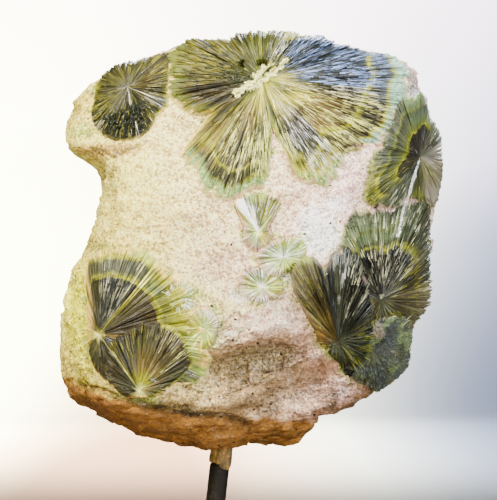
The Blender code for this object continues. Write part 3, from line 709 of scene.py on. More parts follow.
rightSun = dict(
    name="rightSun", node="wavellite_cluster_right", slot="dark_wavellite", calm=0.48, beads=0.9,
    centre=(26.8, 13.6), rings=4, lift=1.1, depth=1.0, columns=768, rows=38, blades=30, seed=7,
    fibres=160, fades=0.6, relief=0.7, grains=0.8, paintedSparkle=0.3,
    outline=(
        (18, 9.0), (40, 8.8), (55, 8.5), (69, 8.2), (75, 8.6), (82, 9.4), (90, 10), (101, 9.8),
        (111, 9.7), (120, 8.4), (135, 7.4), (158, 7.1), (171, 7.3), (178, 7.8), (189, 7.9),
        (199, 8.7), (207, 9.9), (214, 11), (222, 11.6), (230, 10.6), (241, 9.7), (251, 7.2),
        (272, 6.9), (286, 8.2), (318, 9.4), (342, 9.2),
    ),
    sectors=(
        (15, "silver", (0, "greyGreen"), (0.4, "pinkGrey"), (1, "silver")),
        (55, "silver", (0, "greyGreen"), (0.2, "umber"), (0.6, "greyGreen"), (1, "steel")),
        (85, "steel", (0, "olive"), (0.15, "umber"), (0.48, "umber"), (0.5, "lime"), (0.54, "yellowGreen"),
            (0.66, "bandGreen"), (0.76, "greyGreen"), (0.8, "rimGreen"), (0.84, "bandGreen"), (1, "mint")),
        (125, "steel", (0, "olive"), (0.12, "umber"), (0.47, "umber"), (0.5, "lime"),
            (0.54, "yellowGreen"), (0.66, "greyGreen"), (0.74, "moss"), (0.78, "rimGreen"),
            (0.82, "greyGreen")),
        (175, "steel", (0, "olive"), (0.12, "umber"), (0.47, "umber"), (0.5, "lime"),
            (0.54, "yellowGreen"), (0.66, "greyGreen"), (0.74, "moss"), (0.78, "rimGreen"),
            (0.84, "greyGreen")),
        (215, "straw", (0, "olive"), (0.12, "umber"), (0.5, "umber"), (0.53, "lime"), (0.58, "yellowGreen"),
            (0.78, "moss"), (0.82, "lime"), (0.88, "yellowGreen")),
        (240, "silver", (0, "olive"), (0.3, "deepGreen"), (0.6, "moss"), (1, "greyGreen")),
        (262, "straw", (0, "greyGreen"), (0.4, "moss"), (0.7, "olive"), (0.85, "yellowGreen"), (1, "moss")),
        (300, "cream", (0, "beige"), (0.4, "beige"), (0.8, "pinkGrey"), (1, "olive")),
        (335, "silver", (0, "pinkGrey"), (0.5, "beige"), (1, "steel")),
    ),
    # a painted glint: a thin white highlight line along a blade
    marks=((((26.3, 12.6), (25.0, 8.0), (23.9, 4.5)), 0.22, "white", 0.35),),
)

rightSunMiddle = dict(
    name="rightSunMiddle", node="wavellite_cluster_right", slot="dark_wavellite", calm=0.52, beads=0.9,
    centre=(20.4, -9.1), rings=4, lift=0.4, depth=0.7, columns=1024, rows=46, blades=30, seed=8,
    fibres=300, fades=0.5, grains=0.8, paintedSparkle=0.5,
    outline=(
        (7, 11), (20, 12.4), (42, 14.6), (55, 16.5), (63, 17.6), (76, 16.3), (83, 14.3),
        (90, 14.4), (98, 14.6), (109, 14.6), (120, 11.8), (137, 8.7), (161, 7.0), (180, 5.4),
        (208, 4.8), (240, 4.8), (270, 5), (295, 7), (308, 10), (334, 10.2),
    ),
    sectors=(
        (0, "straw", (0, "greyGreen"), (0.3, "brown"), (0.7, "beige"), (1, "brown")),
        (35, "straw", (0, "steel"), (0.2, "olive"), (0.5, "brown"), (0.75, "greyGreen"),
            (0.85, "yellowGreen"), (1, "brown")),
        (60, "silver", (0, "silver"), (0.1, "deepGreen"), (0.5, "black"), (0.53, "lime"), (0.6, "olive"),
            (0.72, "greyGreen"), (0.8, "olive"), (1, "greyGreen")),
        (78, "silver", (0, "silver"), (0.1, "slate"), (0.53, "black"), (0.56, "lime"), (0.6, "moss"),
            (0.66, "bandGreen"), (0.74, "bandGreen"), (0.77, "yellowGreen"), (0.8, "bandGreen"),
            (1, "greyGreen")),
        (100, "silver", (0, "silver"), (0.1, "black"), (0.56, "black"), (0.58, "lime"), (0.62, "moss"),
            (0.67, "bandGreen"), (0.74, "bandGreen"), (0.77, "yellowGreen"), (0.8, "bandGreen"),
            (1, "greyGreen")),
        (118, "silver", (0, "greyGreen"), (0.1, "black"), (0.6, "deepGreen"), (0.7, "lime"),
            (0.8, "yellowGreen"), (0.86, "bandGreen")),
        (140, "steel", (0, "greyGreen"), (0.3, "deepGreen"), (1, "deepGreen")),
        (190, "straw", (0, "olive"), (0.4, "brown"), (1, "moss")),
        (250, "straw", (0, "olive"), (0.5, "deepGreen"), (1, "moss")),
        (310, "straw", (0, "greyGreen"), (0.4, "olive"), (1, "beige")),
    ),
    # a painted glint: a thin white highlight line along a blade
    marks=((((26.3, 12.6), (25.0, 8.0), (23.9, 4.5), (23.2, 1.0)), 0.22, "white", 0.35),),
)

rightSunSide = dict(
    name="rightSunSide", node="wavellite_cluster_right", slot="dark_wavellite", calm=0.95, rings=4,
    centre=(13.6, -15.7), lift=1.7, depth=0.72, columns=640, rows=36, blades=24, seed=9,
    fibres=160, fades=0.2, grains=0.3, paintedSparkle=0.4,
    outline=(
        (0, 5), (30, 6.5), (60, 9.5), (78, 14.6), (86, 15.4), (93, 14.2), (98, 12.3), (102, 12.2),
        (106, 13.8), (114, 14.3), (123, 13.6), (130, 11.4), (137, 7.2), (152, 3.8), (198, 2.5),
        (225, 2), (270, 2.9), (300, 4.6),
    ),
    sectors=(
        (20, "lime", (0, "moss"), (0.5, "deepGreen"), (1, "deepGreen")),
        (55, "steel", (0, "moss"), (0.4, "deepGreen"), (1, "black")),
        (75, "silver", (0, "moss"), (0.2, "blueGreen"), (0.6, "deepGreen"), (1, "slate")),
        (90, "white", (0, "moss"), (0.2, "greyGreen"), (0.7, "greyGreen"), (1, "slate")),
        (101, "steel", (0, "moss"), (0.2, "slate"), (0.6, "black"), (1, "slate")),
        (112, "straw", (0, "moss"), (0.3, "gold"), (0.6, "brown"), (0.9, "beige"), (1, "paleGreen")),
        (126, "straw", (0, "ochre"), (0.4, "gold"), (0.8, "beige"), (1, "beige")),
        (150, "straw", (0, "moss"), (1, "ochre")),
        (250, "lime", (0, "moss"), (1, "deepGreen")),
    ),
)

rightSunLow = dict(
    name="rightSunLow", node="wavellite_cluster_right", slot="dark_wavellite", beads=-1.0,
    centre=(19.2, -17.6), lift=1.0, depth=0.75, columns=512, rows=28, blades=20, seed=10,
    mottle=("slate", "bandGreen", "deepGreen", "blueGreen", "greyGreen", "bandGreen", "blueGreen"),
    fibres=60, fades=0.5, relief=0.3, grains=1.0, paintedSparkle=0.25,
    outline=(
        (18, 9.0), (50, 7.5), (90, 5.4), (120, 5), (148, 5.1), (169, 5.7), (188, 5.5),
        (201, 5.7), (219, 5.6), (240, 5.2), (266, 5.2), (288, 7.2), (318, 8.0), (348, 8.6),
    ),
    sectors=(
        (0, "straw", (0, "slate"), (0.4, "beige"), (1, "beige")),
        (60, "silver", (0, "slate"), (0.5, "blueGreen"), (1, "greyGreen")),
        (120, "lime", (0, "deepGreen"), (0.6, "moss"), (1, "deepGreen")),
        (200, "lime", (0, "deepGreen"), (1, "moss")),
        (270, "straw", (0, "moss"), (0.5, "deepGreen"), (1, "olive")),
        (320, "straw", (0, "greyGreen"), (0.5, "olive"), (1, "beige")),
    ),
    marks=(
        (((19.3, -13.0), (20.3, -13.8)), 1.1, "pinkGrey", 0.3),
        # a sunk hollow, its black painted shade
        (((13.8, -19.6), (15.4, -20.8)), 0.7, "black", -0.5),
    ),
)

suns = (
    topSun, upperLeftSun, lowerLeftSun, lowerLeftFoot, leftStar, leftSpray, centreSpray,
    centreSprayRight, centreSprayLow, rightSun, rightSunMiddle, rightSunSide, rightSunLow,
)

laying = dict(
    front=60.0, stride=0.4, reachForStone=6.0, slowest=0.7,  # of a walk over the stone
    spokes=120, step=0.25,  # of the table of walks
    rowSpans=((0.025, 0.72), (0.735, 1.0)), faceWidth=0.09,  # of a sun's own faces
    rootDepth=1.2, bevel=0.12,
)
bladeLevels = dict(  # from the broadest blades to the finest fibres
    cap=(0.34, 0.2, 0.12, 0.07), flake=(4.0, 2.2, 1.3, 0.8),  # greatest height, length of a flake
    tone=(0.5, 0.5, 0.5, 0.3), pick=(0.5, 0.7, 0.6, 0.4),  # each level's share in the colours
)
cover = dict(spokes=72, rings=10, reach=0.92)  # the part of a sun that hides the stone
strewing = dict(
    fibreThickness=0.045, fibreLength=1.2, fibreLean=0.04, fibresFrom=1.2, fibresTo=0.95,
    paleFibresTo=0.7, grainDensity=5.0, grainSize=0.17,
)


def walk(centre, angle, reach):  # along the stone from a centre, in the upright plane at this angle
    outwards = Vector((math.cos(angle), 0, math.sin(angle)))
    across = Vector((-math.sin(angle), 0, math.cos(angle)))
    here = skin.ray_cast(Vector((centre[0], -laying["front"], centre[1])), Vector((0, 1, 0)))[0]
    heading, gone = outwards, 0.0
    track = [(gone, *here, *heading.cross(across))]
    while gone < reach:
        up = heading.cross(across)
        ahead = here + heading * laying["stride"]
        reachDown = laying["reachForStone"]
        hit = skin.ray_cast(ahead + up * reachDown, -up, 2 * reachDown)[0]
        if hit is None:
            hit = skin.find_nearest(ahead)[0]
            hit = hit - across * (hit - here).dot(across)
        heading = (heading + (hit - here).normalized()).normalized()
        gone += laying["stride"] * max(heading.dot(outwards), laying["slowest"])
        here = hit
        track.append((gone, *here, *heading.cross(across)))
    return np.array(track)


class Laid:  # where a sun's every angle and reach lie on the stone, and which way is out of it
    def __init__(self, sun):
        self.degrees, self.reaches = zip(*sun["outline"])
        count, step = laying["spokes"], laying["step"]
        angles = np.arange(count) * 2 * math.pi / count
        near = np.radians(np.arange(-9, 10, 3))
        far = np.array([self.reach(angle + near).max() + 1.0 for angle in angles])
        gone = np.arange(0, far.max() + 2 * step, step)
        tracks = [walk(sun["centre"], angle, reach) for angle, reach in zip(angles, far)]
        table = np.array(
            [[np.interp(gone, track[:, 0], column) for column in track[:, 1:].T] for track in tracks]
        ).transpose(0, 2, 1)
        for _ in range(2):
            ups = table[..., 3:]
            ups[:, 1:-1] = (ups[:, :-2] + ups[:, 1:-1] + ups[:, 2:]) / 3
            table[..., 3:] = (np.roll(ups, 1, axis=0) + ups + np.roll(ups, -1, axis=0)) / 3
        self.table = table

    def reach(self, angles):
        return np.interp(np.degrees(angles) % 360, self.degrees, self.reaches, period=360)

    def at(self, angles, gone):
        count = len(self.table)
        turn = (angles / (2 * math.pi) * count) % count
        spoke = np.floor(turn).astype(int) % count
        along = np.clip(gone / laying["step"], 0, self.table.shape[1] - 2)
        step = np.floor(along).astype(int)
        u, v = (turn - np.floor(turn))[:, None], (along - step)[:, None]
        other = (spoke + 1) % count
        rows = (
            self.table[spoke, step] * (1 - u) * (1 - v) + self.table[other, step] * u * (1 - v)
            + self.table[spoke, step + 1] * (1 - u) * v + self.table[other, step + 1] * u * v
        )
        places, ups = rows[:, :3], rows[:, 3:]
        return places, ups / np.linalg.norm(ups, axis=1)[:, None]


def splitBlades(count, levels, chance):  # edges of blades round the circle, each level splitting the last
    edges = np.sort((np.arange(count) + chance.uniform(-0.35, 0.35, count)) / count)
    every = [edges]
    for _ in range(levels - 1):
        gaps = np.diff(np.append(every[-1], every[-1][0] + 1))
        parts = [every[-1]]
        pieces = 2 if len(every) > 1 else 3
        for k in range(1, pieces):
            parts.append(every[-1] + gaps * (k + chance.uniform(-0.3, 0.3, len(gaps))) / pieces)
        every.append(np.sort(np.concatenate(parts) % 1.0))
    return every


def bladesOf(share, edges):  # which blade a share of the circle falls in, and how far across it
    number = np.searchsorted(edges, share, side="right") - 1
    start = edges[number]
    following = edges[(number + 1) % len(edges)]
    width = (following - start) % 1.0
    return number % len(edges), ((share - start) % 1.0) / width, width


def sunColumns(sun, rowShare):  # fewer columns of faces near the middle
    full = sun["columns"]
    reach = max(r for _, r in sun["outline"])
    wanted = rowShare * reach * 2 * math.pi / laying["faceWidth"]
    return full if wanted > full / 2 else full // 2 if wanted > full / 4 else full // 4


def sectorColours(sun, degrees, share):  # the colour and the painted glint colour at each point
    turns = np.array([sector[0] for sector in sun["sectors"]], float)
    count = len(turns)
    after = np.searchsorted(turns, degrees % 360) % count
    before = (after - 1) % count
    span = (turns[after] - turns[before]) % 360
    part = eased(0.25, 0.75, ((degrees - turns[before]) % 360) / span)[:, None]
    colour, glint = np.zeros((len(degrees), 3)), np.zeros((len(degrees), 3))
    for k, (_, glintName, *stops) in enumerate(sun["sectors"]):
        shares, names = zip(*stops)
        shades = np.array([linear(palette[name]) for name in names])
        weight = (before == k)[:, None] * (1 - part) + (after == k)[:, None] * part
        own = np.stack([np.interp(share, shares, shades[:, c]) for c in range(3)], -1)
        colour += weight * own
        glint += weight * linear(palette[glintName])
    return colour, glint


def blended(colour, name, share):
    return colour * (1 - share[:, None]) + linear(palette[name]) * share[:, None]


stoneColours = dict(
    left=(247, 224, 194), right=(228, 214, 210), under=(204, 166, 104),
    patches=(  # centre (x, z), reach across and along, turn, colour, how strong
        ((10.2, 1.6), (3.4, 4.2), 20.0, "frost", 0.95),
        ((13.5, 6.0), (1.6, 1.2), 0.0, "frost", 0.6),
        ((2.9, -6.1), (4.2, 3.0), -20.0, "paleGreen", 0.75),
        ((6.0, -5.0), (2.0, 1.6), 0.0, "frost", 0.8),
        ((-1.0, -8.0), (3.0, 1.4), 10.0, "frost", 0.5),
        ((-6.7, -13.4), (2.2, 3.6), 0.0, "mint", 0.75),
        ((-10.5, -8.4), (3.6, 1.8), 0.0, "paleGreen", 0.7),
        ((-27.5, -9.3), (2.4, 5.0), 0.0, "yellowGreen", 0.5),
        ((-26.5, -12.0), (3.8, 10.0), 0.0, "honey", 0.8),
        ((-27.5, -19.5), (3.0, 3.0), 0.0, "straw", 0.45),
        ((17.0, -25.8), (4.6, 1.8), 35.0, "umber", 0.7),
        ((-26.0, 0.0), (2.0, 2.0), 0.0, "straw", 0.5),
        ((-23.0, -1.6), (3.0, 1.6), 0.0, "paleGreen", 0.6),
        ((0.5, -18.9), (8.5, 3.0), 10.0, "beige", 0.85),
        ((2.0, -23.5), (10.0, 3.5), 10.0, "beige", 0.5),
        ((-23.5, 14.4), (6.5, 1.3), 4.0, "ochre", 0.7),
        ((-28.0, 21.5), (2.6, 4.2), -15.0, "straw", 0.6),
        ((-27.0, 17.7), (2.2, 1.3), 0.0, "paleGreen", 0.8),
        ((-13.9, -25.6), (6.5, 0.7), -8.0, "darkOlive", 0.85),
        ((-9.0, -27.0), (4.0, 0.5), -6.0, "darkOlive", 0.7),
        ((12.6, -25.0), (1.3, 2.6), -10.0, "moss", 0.8),
        ((17.0, -24.6), (5.0, 1.6), 35.0, "ochre", 0.6),
        ((25.3, 24.0), (2.6, 1.8), -20.0, "frost", 0.5),
        ((-8.5, 12.4), (2.2, 2.6), 0.0, "paleGreen", 0.35),
        ((18.9, 9.6), (1.4, 4.0), -8.0, "rimGreen", 0.9),
        ((19.5, 5.7), (0.5, 0.6), 0.0, "black", 1.0),
        ((20.5, 1.0), (3.0, 1.6), 0.0, "paleGreen", 0.8),
        ((-25.6, -1.0), (3.6, 2.6), 0.0, "yellowGreen", 0.45),
        ((-17.0, -1.2), (6.0, 1.2), 5.0, "straw", 0.4),
        ((-4.0, -4.0), (5.0, 3.0), 0.0, "stonePink", 0.5),
        ((5.0, -3.0), (4.6, 3.0), -40.0, "straw", 0.55),
        ((-5.5, -9.6), (4.6, 1.6), -20.0, "paleGreen", 0.45),
        ((26.0, 26.6), (2.0, 3.0), -20.0, "pinkGrey", 0.8),
    ),
    seams=(  # dark cracks: points, half width, depth
        (((-27.5, -22.9), (-21.1, -24.5), (-16.3, -26.1), (-8.3, -27.7), (-1.0, -28.6)), 0.4, 0.9),
        (((-25.5, 14.6), (-22.0, 13.6), (-17.0, 15.6)), 0.2, 0.4),
    ),
    hollows=(  # broken-out parts: their outline, depth, width of the step
        (((-7.5, -17.6), (-1.9, -16.0), (4.5, -15.3), (8.5, -16.5), (9.6, -18.9), (7.7, -21.7),
            (2.9, -24.0), (-2.7, -25.3), (-7.5, -24.9), (-11.5, -24.0), (-12.8, -22.1), (-10.7, -19.7)),
            1.1, 1.2),
        (((-5.9, -19.2), (-0.3, -17.6), (5.3, -17.3), (6.4, -19.2), (2.9, -21.7), (-2.7, -22.7),
            (-6.4, -22.1)), 0.8, 0.8),
        (((10.9, -17.3), (13.3, -25.3), (7.7, -27.2), (5.3, -25.3), (9.3, -21.3)), 0.8, 0.9),
        (((-14.0, -25.0), (-4.0, -26.2), (4.0, -25.6), (2.0, -28.2), (-8.0, -27.6)), 0.7, 0.6),
    ),
    underLine=(  # the top edge of the brown underside
        (-32.0, -20.5), (-23.7, -24.6), (-9.8, -27.4), (9.8, -28.5), (18.2, -26.2), (24.0, -20.0),
    ),
)


def raggedness(points):  # how unevenly edges of colour run
    return 0.6 * lumps(points, 2.5, 11) + 0.3 * lumps(points, 1.0, 12)


def stainShare(points):  # how much of the suns' green has soaked into the stone beside them
    return np.clip(0.35 + 0.9 * lumps(points, 1.3, 17), 0, 0.9)


def stoneTint(points, normals, ragged):  # the stone's colour, and how far it is the brown underside
    x, _, z = points.T
    line = np.interp(x, *zip(*stoneColours["underLine"]))
    down = eased(0.35, -0.35, z - line + ragged)
    down = np.clip(down + 0.6 * eased(0.1, 0.7, -normals[:, 2]) * eased(-8, -20, z), 0, 1)
    side = eased(-30.0, 16.0, x + 5 * lumps(points, 9.0, 13))[:, None]
    colour = linear(stoneColours["left"]) * (1 - side) + linear(stoneColours["right"]) * side
    colour = colour * (1 + 0.14 * lumps(points, 3.0, 14) + 0.1 * lumps(points, 1.2, 15))[:, None]
    colour = colour * (1 - down[:, None]) + linear(stoneColours["under"]) * down[:, None]
    facing = eased(0.1, -0.2, normals[:, 1])
    for centre, reach, turn, name, amount in stoneColours["patches"]:
        spread = np.hypot(*turned(points[:, [0, 2]], centre, reach, turn))
        spread = spread + 0.3 * ragged + 0.25 * lumps(points, 0.6, 16)
        colour = blended(colour, name, eased(1.25, 0.55, spread) * facing * amount)
    return colour, down


def bladeTraits(levels, chance):  # random numbers for every blade of every level
    return [
        dict(
            lift=chance.uniform(-1, 1, len(edges)), peak=chance.uniform(0.15, 0.85, len(edges)),
            slope=chance.normal(0, 0.02, len(edges)), tone=chance.uniform(-1, 1, len(edges)),
            start=chance.uniform(0.6, 1.5, len(edges)), pick=chance.uniform(-1, 1, len(edges)),
        )
        for edges in levels
    ]


def sunRows(sun):  # rings of points from the middle outwards, as shares of the circle and of the reach
    half, start = sun["rows"] // 2, 1
    rings, spins, shares = [], [], []
    for rowShare in np.concatenate([np.linspace(*span, half) for span in laying["rowSpans"]]):
        count = sunColumns(sun, rowShare)
        rings.append(range(start, start + count))
        spins.append(np.arange(count) / count)
        shares.append(np.full(count, rowShare))
        start += count
    return rings, np.concatenate(spins), np.concatenate(shares)


def bladeRelief(sun, levels, traits, spin, gone, height):  # raises roofs, flakes and steps on a sun
    tone, pick, dash = np.zeros(len(spin)), np.zeros(len(spin)), []
    for depth, (edges, trait) in enumerate(zip(levels, traits)):
        cap, flake, toneShare, pickShare = (values[depth] for values in bladeLevels.values())
        number, across, width = bladesOf(spin, edges)
        wide = width * 2 * math.pi * gone
        onset = eased(0.12, 0.3, wide * trait["start"][number])
        crest = trait["peak"][number]
        roof = np.where(across < crest, across / crest, (1 - across) / (1 - crest))
        size = np.minimum(0.3 * wide, cap) * sun["relief"]
        height += onset * size * (roof - 0.5 + 0.6 * trait["lift"][number])
        height += onset * trait["slope"][number] * np.clip(gone - 5, -4, 4)
        along = gone / (flake * (0.4 + trait["start"][number])) + 7.3 * trait["pick"][number]
        cell = np.stack([number, np.floor(along), number * 0 + depth], -1).astype(np.int64)
        own = scrambled(cell, sun["seed"])
        height += onset * size * 1.2 * (own - 0.5) * (along - np.floor(along))
        dash.append(scrambled(cell, sun["seed"] + 50))
        tone += onset * trait["tone"][number] * toneShare
        pick += onset * trait["pick"][number] * pickShare
    return height, tone, pick, dash


def sunLook(sun, places, ups, angle, share, tone, pick, dash):  # colours, and what the rim and marks add
    wobble = share + 0.008 * pick + 0.02 * lumps(places, 2.0, 40 + sun["seed"])
    colour, glint = sectorColours(sun, np.degrees(angle) + pick * 6, wobble)
    beads = eased(sun["beads"] - 0.02, sun["beads"] + 0.02, wobble)
    light = np.clip(0.5 + 0.5 * tone * sun["contrast"], 0, 1.4) * (1 - beads) + 0.6 * beads
    calm = eased(sun["calm"], sun["calm"] + 0.04, wobble)
    light = light * (1 - 0.6 * calm) + 0.7 * 0.6 * calm
    colour = colour * ((0.45 + 1.1 * light) * sun["depth"])[:, None]
    dense = eased(0.3, 0.7, 0.4 * dash[0] + 0.6 * dash[1] + 0.15 * tone)
    # painted glints: how strong the bright highlight dashes of the glint colour are, laid into the blades'
    # colour
    shine = (0.25 + 0.75 * dense) * sun["paintedSparkle"] * (1 - beads) * (1 - 0.6 * calm)
    shine = shine * eased(0.05, 0.2, share)
    paintedGlintShare = 0.7 * eased(0.84, 0.92, dash[3]) * shine
    gloom = eased(0.24, 0.16, dash[3]) * (1 - beads)
    colour = colour * (1 - 0.4 * gloom - paintedGlintShare)[:, None] + glint * paintedGlintShare[:, None]
    bead, own = pebbles(places, 0.7, sun["seed"])
    # the rim's beads differ in tone at random, and painted shade darkens the gaps between them
    colour = colour * (1 + beads * (0.4 * own - 0.3 * eased(0.2, 0.5, bead)))[:, None]
    ragged = raggedness(places)
    ground, _ = stoneTint(places, ups, ragged)
    ground = blended(ground, "paleGreen", stainShare(places))
    for k, name in enumerate(sun["mottle"]):
        spot = lumps(places, 1.7, 70 + k) + 0.3 * lumps(places, 0.6, 80)
        colour = blended(colour, name, eased(0.1, 0.3, spot) * 0.8)
    fade = eased(0.96, 1.0, share + 0.04 * ragged + 0.03 * lumps(places, 0.5, 21)) * sun["fades"]
    colour = colour * (1 - fade[:, None]) + ground * fade[:, None]
    raised = beads * (0.1 - 0.25 * eased(0.05, 0.6, bead))
    grainy = beads * (1 - fade) * sun["grains"]
    wobbles = 0.6 * np.stack([lumps(places, 0.6, k) for k in (3, 4)], -1)
    crumb, own = pebbles(places, 0.45, 9)
    for line, width, name, rise in sun["marks"]:
        front = places[:, [0, 2]] + wobbles * min(1.0, 2.2 * width - 0.2)
        mask = eased(width * 1.15, width * 0.7, lineDistance(front, line))
        colour = blended(colour, name, mask * (0.75 + 0.25 * own))
        # painted shade in the gaps between the crumbs
        colour = colour * (1 - 0.3 * mask * eased(0.15, 0.4, crumb))[:, None]
        raised += mask * (rise - abs(rise) * eased(0.05, 0.4, crumb))
        grainy = np.maximum(grainy, mask * (rise > 0.3))
    plain = np.maximum(np.maximum(beads, 0.8 * calm), fade)
    return colour, glint, shine, plain, grainy, raised


def ringFaces(rings, bottom):  # from point 0 over rings, some twice as dense as the last, to the bottom
    faces = []
    for inner, outer in zip(rings, rings[1:]):
        count = len(inner)
        for j in range(count):
            a, b = inner[j], inner[(j + 1) % count]
            if len(outer) == count:
                faces.append((a, outer[j], outer[(j + 1) % count], b))
            else:
                c, d, e = outer[2 * j], outer[2 * j + 1], outer[(2 * j + 2) % (2 * count)]
                faces += [(a, c, d), (a, d, b), (b, d, e)]
    first, last = rings[0], rings[-1]
    faces += [(0, first[j], first[(j + 1) % len(first)]) for j in range(len(first))]
    faces += [(last[j], bottom, last[(j + 1) % len(last)]) for j in range(len(last))]
    return faces


def carried(values, edge, ends=None, below=None):  # on to the middle, the side, the root and the bottom
    first = values[:1] if ends is None else np.full_like(values[:1], ends)
    last = values[-edge:] if below is None else np.full_like(values[-edge:], below)
    return np.concatenate([first, values, last, last, first])


def sunShape(sun):
    chance = np.random.default_rng(sun["seed"])
    laid = Laid(sun)
    levels = splitBlades(sun["blades"], len(bladeLevels["cap"]), chance)
    traits = bladeTraits(levels, chance)
    rings, spin, share = sunRows(sun)
    angle = spin * 2 * math.pi
    circle = np.stack([np.cos(angle), np.sin(angle), angle * 0], -1)
    ragged = 0.025 * lumps(circle * 8, 1.0, sun["seed"]) + 0.02 * lumps(circle * 25, 1.0, sun["seed"])
    number, _, _ = bladesOf(spin, levels[2])
    ragged = ragged + 0.012 * traits[2]["lift"][number]
    gone = share * laid.reach(angle) * (1 + ragged * eased(0.3, 1.0, share))
    places, ups = laid.at(angle, gone)
    growth = np.array(growthRings[sun["rings"]])
    height = sun["lift"] + np.interp(share, growth[:, 0], growth[:, 1])
    height, tone, pick, dash = bladeRelief(sun, levels, traits, spin, gone, height)
    height += 0.15 * lumps(places, 3.0, sun["seed"]) * eased(0.0, 0.3, share)
    colour, glint, shine, plain, grainy, raised = sunLook(
        sun, places, ups, angle, share, tone, pick, dash
    )
    height = np.minimum(height + raised, laying["bevel"] + 14 * (1.0 - share) * max(sun["lift"], 0.4))

    edge = len(rings[-1])
    top = places + ups * height[:, None]
    first, up = laid.at(np.zeros(1), np.zeros(1))
    lastPlaces, lastUps = places[-edge:], ups[-edge:]
    outward = np.cross(np.roll(lastPlaces, -1, axis=0) - np.roll(lastPlaces, 1, axis=0), lastUps)
    outward /= np.linalg.norm(outward, axis=1)[:, None]
    side = lastPlaces + outward * laying["bevel"] - lastUps * 0.25
    root = lastPlaces - lastUps * laying["rootDepth"]
    middle, bottom = first + up * (sun["lift"] + growth[0, 1]), first - up * laying["rootDepth"]
    points = np.concatenate([middle, top, side, root, bottom])
    total = 1 + len(top)
    loops = [*rings, range(total, total + edge), range(total + edge, total + 2 * edge)]
    faces = ringFaces(loops, len(points) - 1)

    end = strewing["paleFibresTo" if sun["slot"] == "pale_wavellite" else "fibresTo"]
    weight = (shine**2 + 0.01) * np.clip(gone - strewing["fibresFrom"], 0, None) * (share < end)
    chosen = chance.choice(len(shine), sun["fibres"], replace=False, p=weight / weight.sum())
    ahead, _ = laid.at(angle[chosen], gone[chosen] + 0.6)
    # the loose fibres take over half their colour from the painted glint colour, a painted highlight
    fibres = dict(
        points=top[chosen], along=ahead - places[chosen] + 0.05 * ups[chosen],
        tint=glint[chosen] * 0.55 + 0.45 * np.clip(colour[chosen], 0, 1),
    )
    around = np.stack([np.cos(angle) * 60, np.sin(angle) * 60, gone * 0.5], -1)
    return dict(
        laid=laid, points=points, faces=faces, fibres=fibres,
        tint=carried(colour, edge)[[face[1] for face in faces]], glint=carried(glint, edge),
        fibre=carried(around, edge, 0), rim=carried(plain, edge, 0, 1),
        shine=carried(shine, edge, 0, 0), strewn=carried(grainy, edge, 0, 0),
    )


def strewTree(name, upright):  # Geometry Nodes: needles along each point's own line, or grains on faces
    tree = bpy.data.node_groups.new(name, "GeometryNodeTree")
    kinds = {
        "Geometry": "Geometry", "Density": "Float", "Thickness": "Float", "Length": "Float",
        "Lean": "Float", "Seed": "Int", "Material": "Material", "Grain Size": "Float",
    }
    for label, kind in kinds.items():
        tree.interface.new_socket(label, in_out="INPUT", socket_type="NodeSocket" + kind)
    tree.interface.new_socket("Geometry", in_out="OUTPUT", socket_type="NodeSocketGeometry")
    board = Board(tree)
    group = tree.nodes.new("NodeGroupInput")
    given = {label: Wire(board, group.outputs[label]) for label in kinds}

    def chance(low, high, turn):
        sockets = {0: (low,) * 3, 1: (high,) * 3, "Seed": given["Seed"] + turn}
        return board.add("FunctionNodeRandomValue", {"data_type": "FLOAT_VECTOR"}, sockets)

    def stored(label, kind):
        return board.add("GeometryNodeInputNamedAttribute", {"data_type": kind}, {"Name": label})

    if upright:
        spots = given["Geometry"]
        shape = board.add(
            "GeometryNodeMeshCone", {"fill_type": "NGON"},
            {"Vertices": 4, "Radius Top": 0.25, "Radius Bottom": 1.0, "Depth": 1.0},
        )
        along = board.vector("NORMALIZE", stored("along", "FLOAT_VECTOR"))
        leaning = board.vector("ADD", along, board.scaled(chance(-1, 1, 1), given["Lean"]))
        turn = board.add("FunctionNodeAlignRotationToVector", {"axis": "Z"}, {"Vector": leaning})
        size = {0: given["Thickness"], 1: given["Thickness"], 2: given["Length"]}
        size = board.vector(
            "MULTIPLY", board.add("ShaderNodeCombineXYZ", sockets=size), chance(0.5, 1.5, 2)
        )
    else:
        density = given["Density"] * stored("strewn", "FLOAT")
        spots = board.add(
            "GeometryNodeDistributePointsOnFaces", {"distribute_method": "RANDOM"},
            {"Mesh": given["Geometry"], "Density": density, "Seed": given["Seed"]},
        )
        shape = board.add("GeometryNodeMeshIcoSphere", sockets={"Radius": 1.0, "Subdivisions": 1})
        turn = chance(0.0, 6.28, 3)
        size = board.scaled(chance(0.45, 1.3, 4), given["Grain Size"])
    spots = board.add(
        "GeometryNodeStoreNamedAttribute", {"data_type": "FLOAT_VECTOR", "domain": "POINT"},
        {"Geometry": spots, "Name": "own", "Value": chance(0.0, 1.0, 5)},
    )
    sockets = {"Points": spots, "Instance": shape, "Rotation": turn, "Scale": size}
    strewn = board.add("GeometryNodeInstanceOnPoints", sockets=sockets)
    whole = board.add("GeometryNodeRealizeInstances", sockets={"Geometry": strewn})
    sockets = {"Geometry": whole, "Material": given["Material"]}
    board.add("NodeGroupOutput", sockets={0: board.add("GeometryNodeSetMaterial", sockets=sockets)})
    return tree


def grown(name, host, tree, node, given):  # a piece that a tree makes on a host
    modifier = host.modifiers.new(name, "NODES")
    modifier.node_group = tree
    for item in tree.interface.items_tree:
        if item.in_out == "INPUT" and item.name in given:
            modifier[item.identifier] = given[item.name]
    graph = bpy.context.evaluated_depsgraph_get()
    mesh = bpy.data.meshes.new_from_object(
        host.evaluated_get(graph), preserve_all_data_layers=True, depsgraph=graph
    )
    host.modifiers.remove(modifier)
    if not mesh.polygons:
        bpy.data.meshes.remove(mesh)
        return
    made = bpy.data.objects.new(name, mesh)
    bpy.context.scene.collection.objects.link(made)
    held(made)
    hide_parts(node)
    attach(made, "root")
    print("strewn:", name, len(mesh.polygons), "faces")


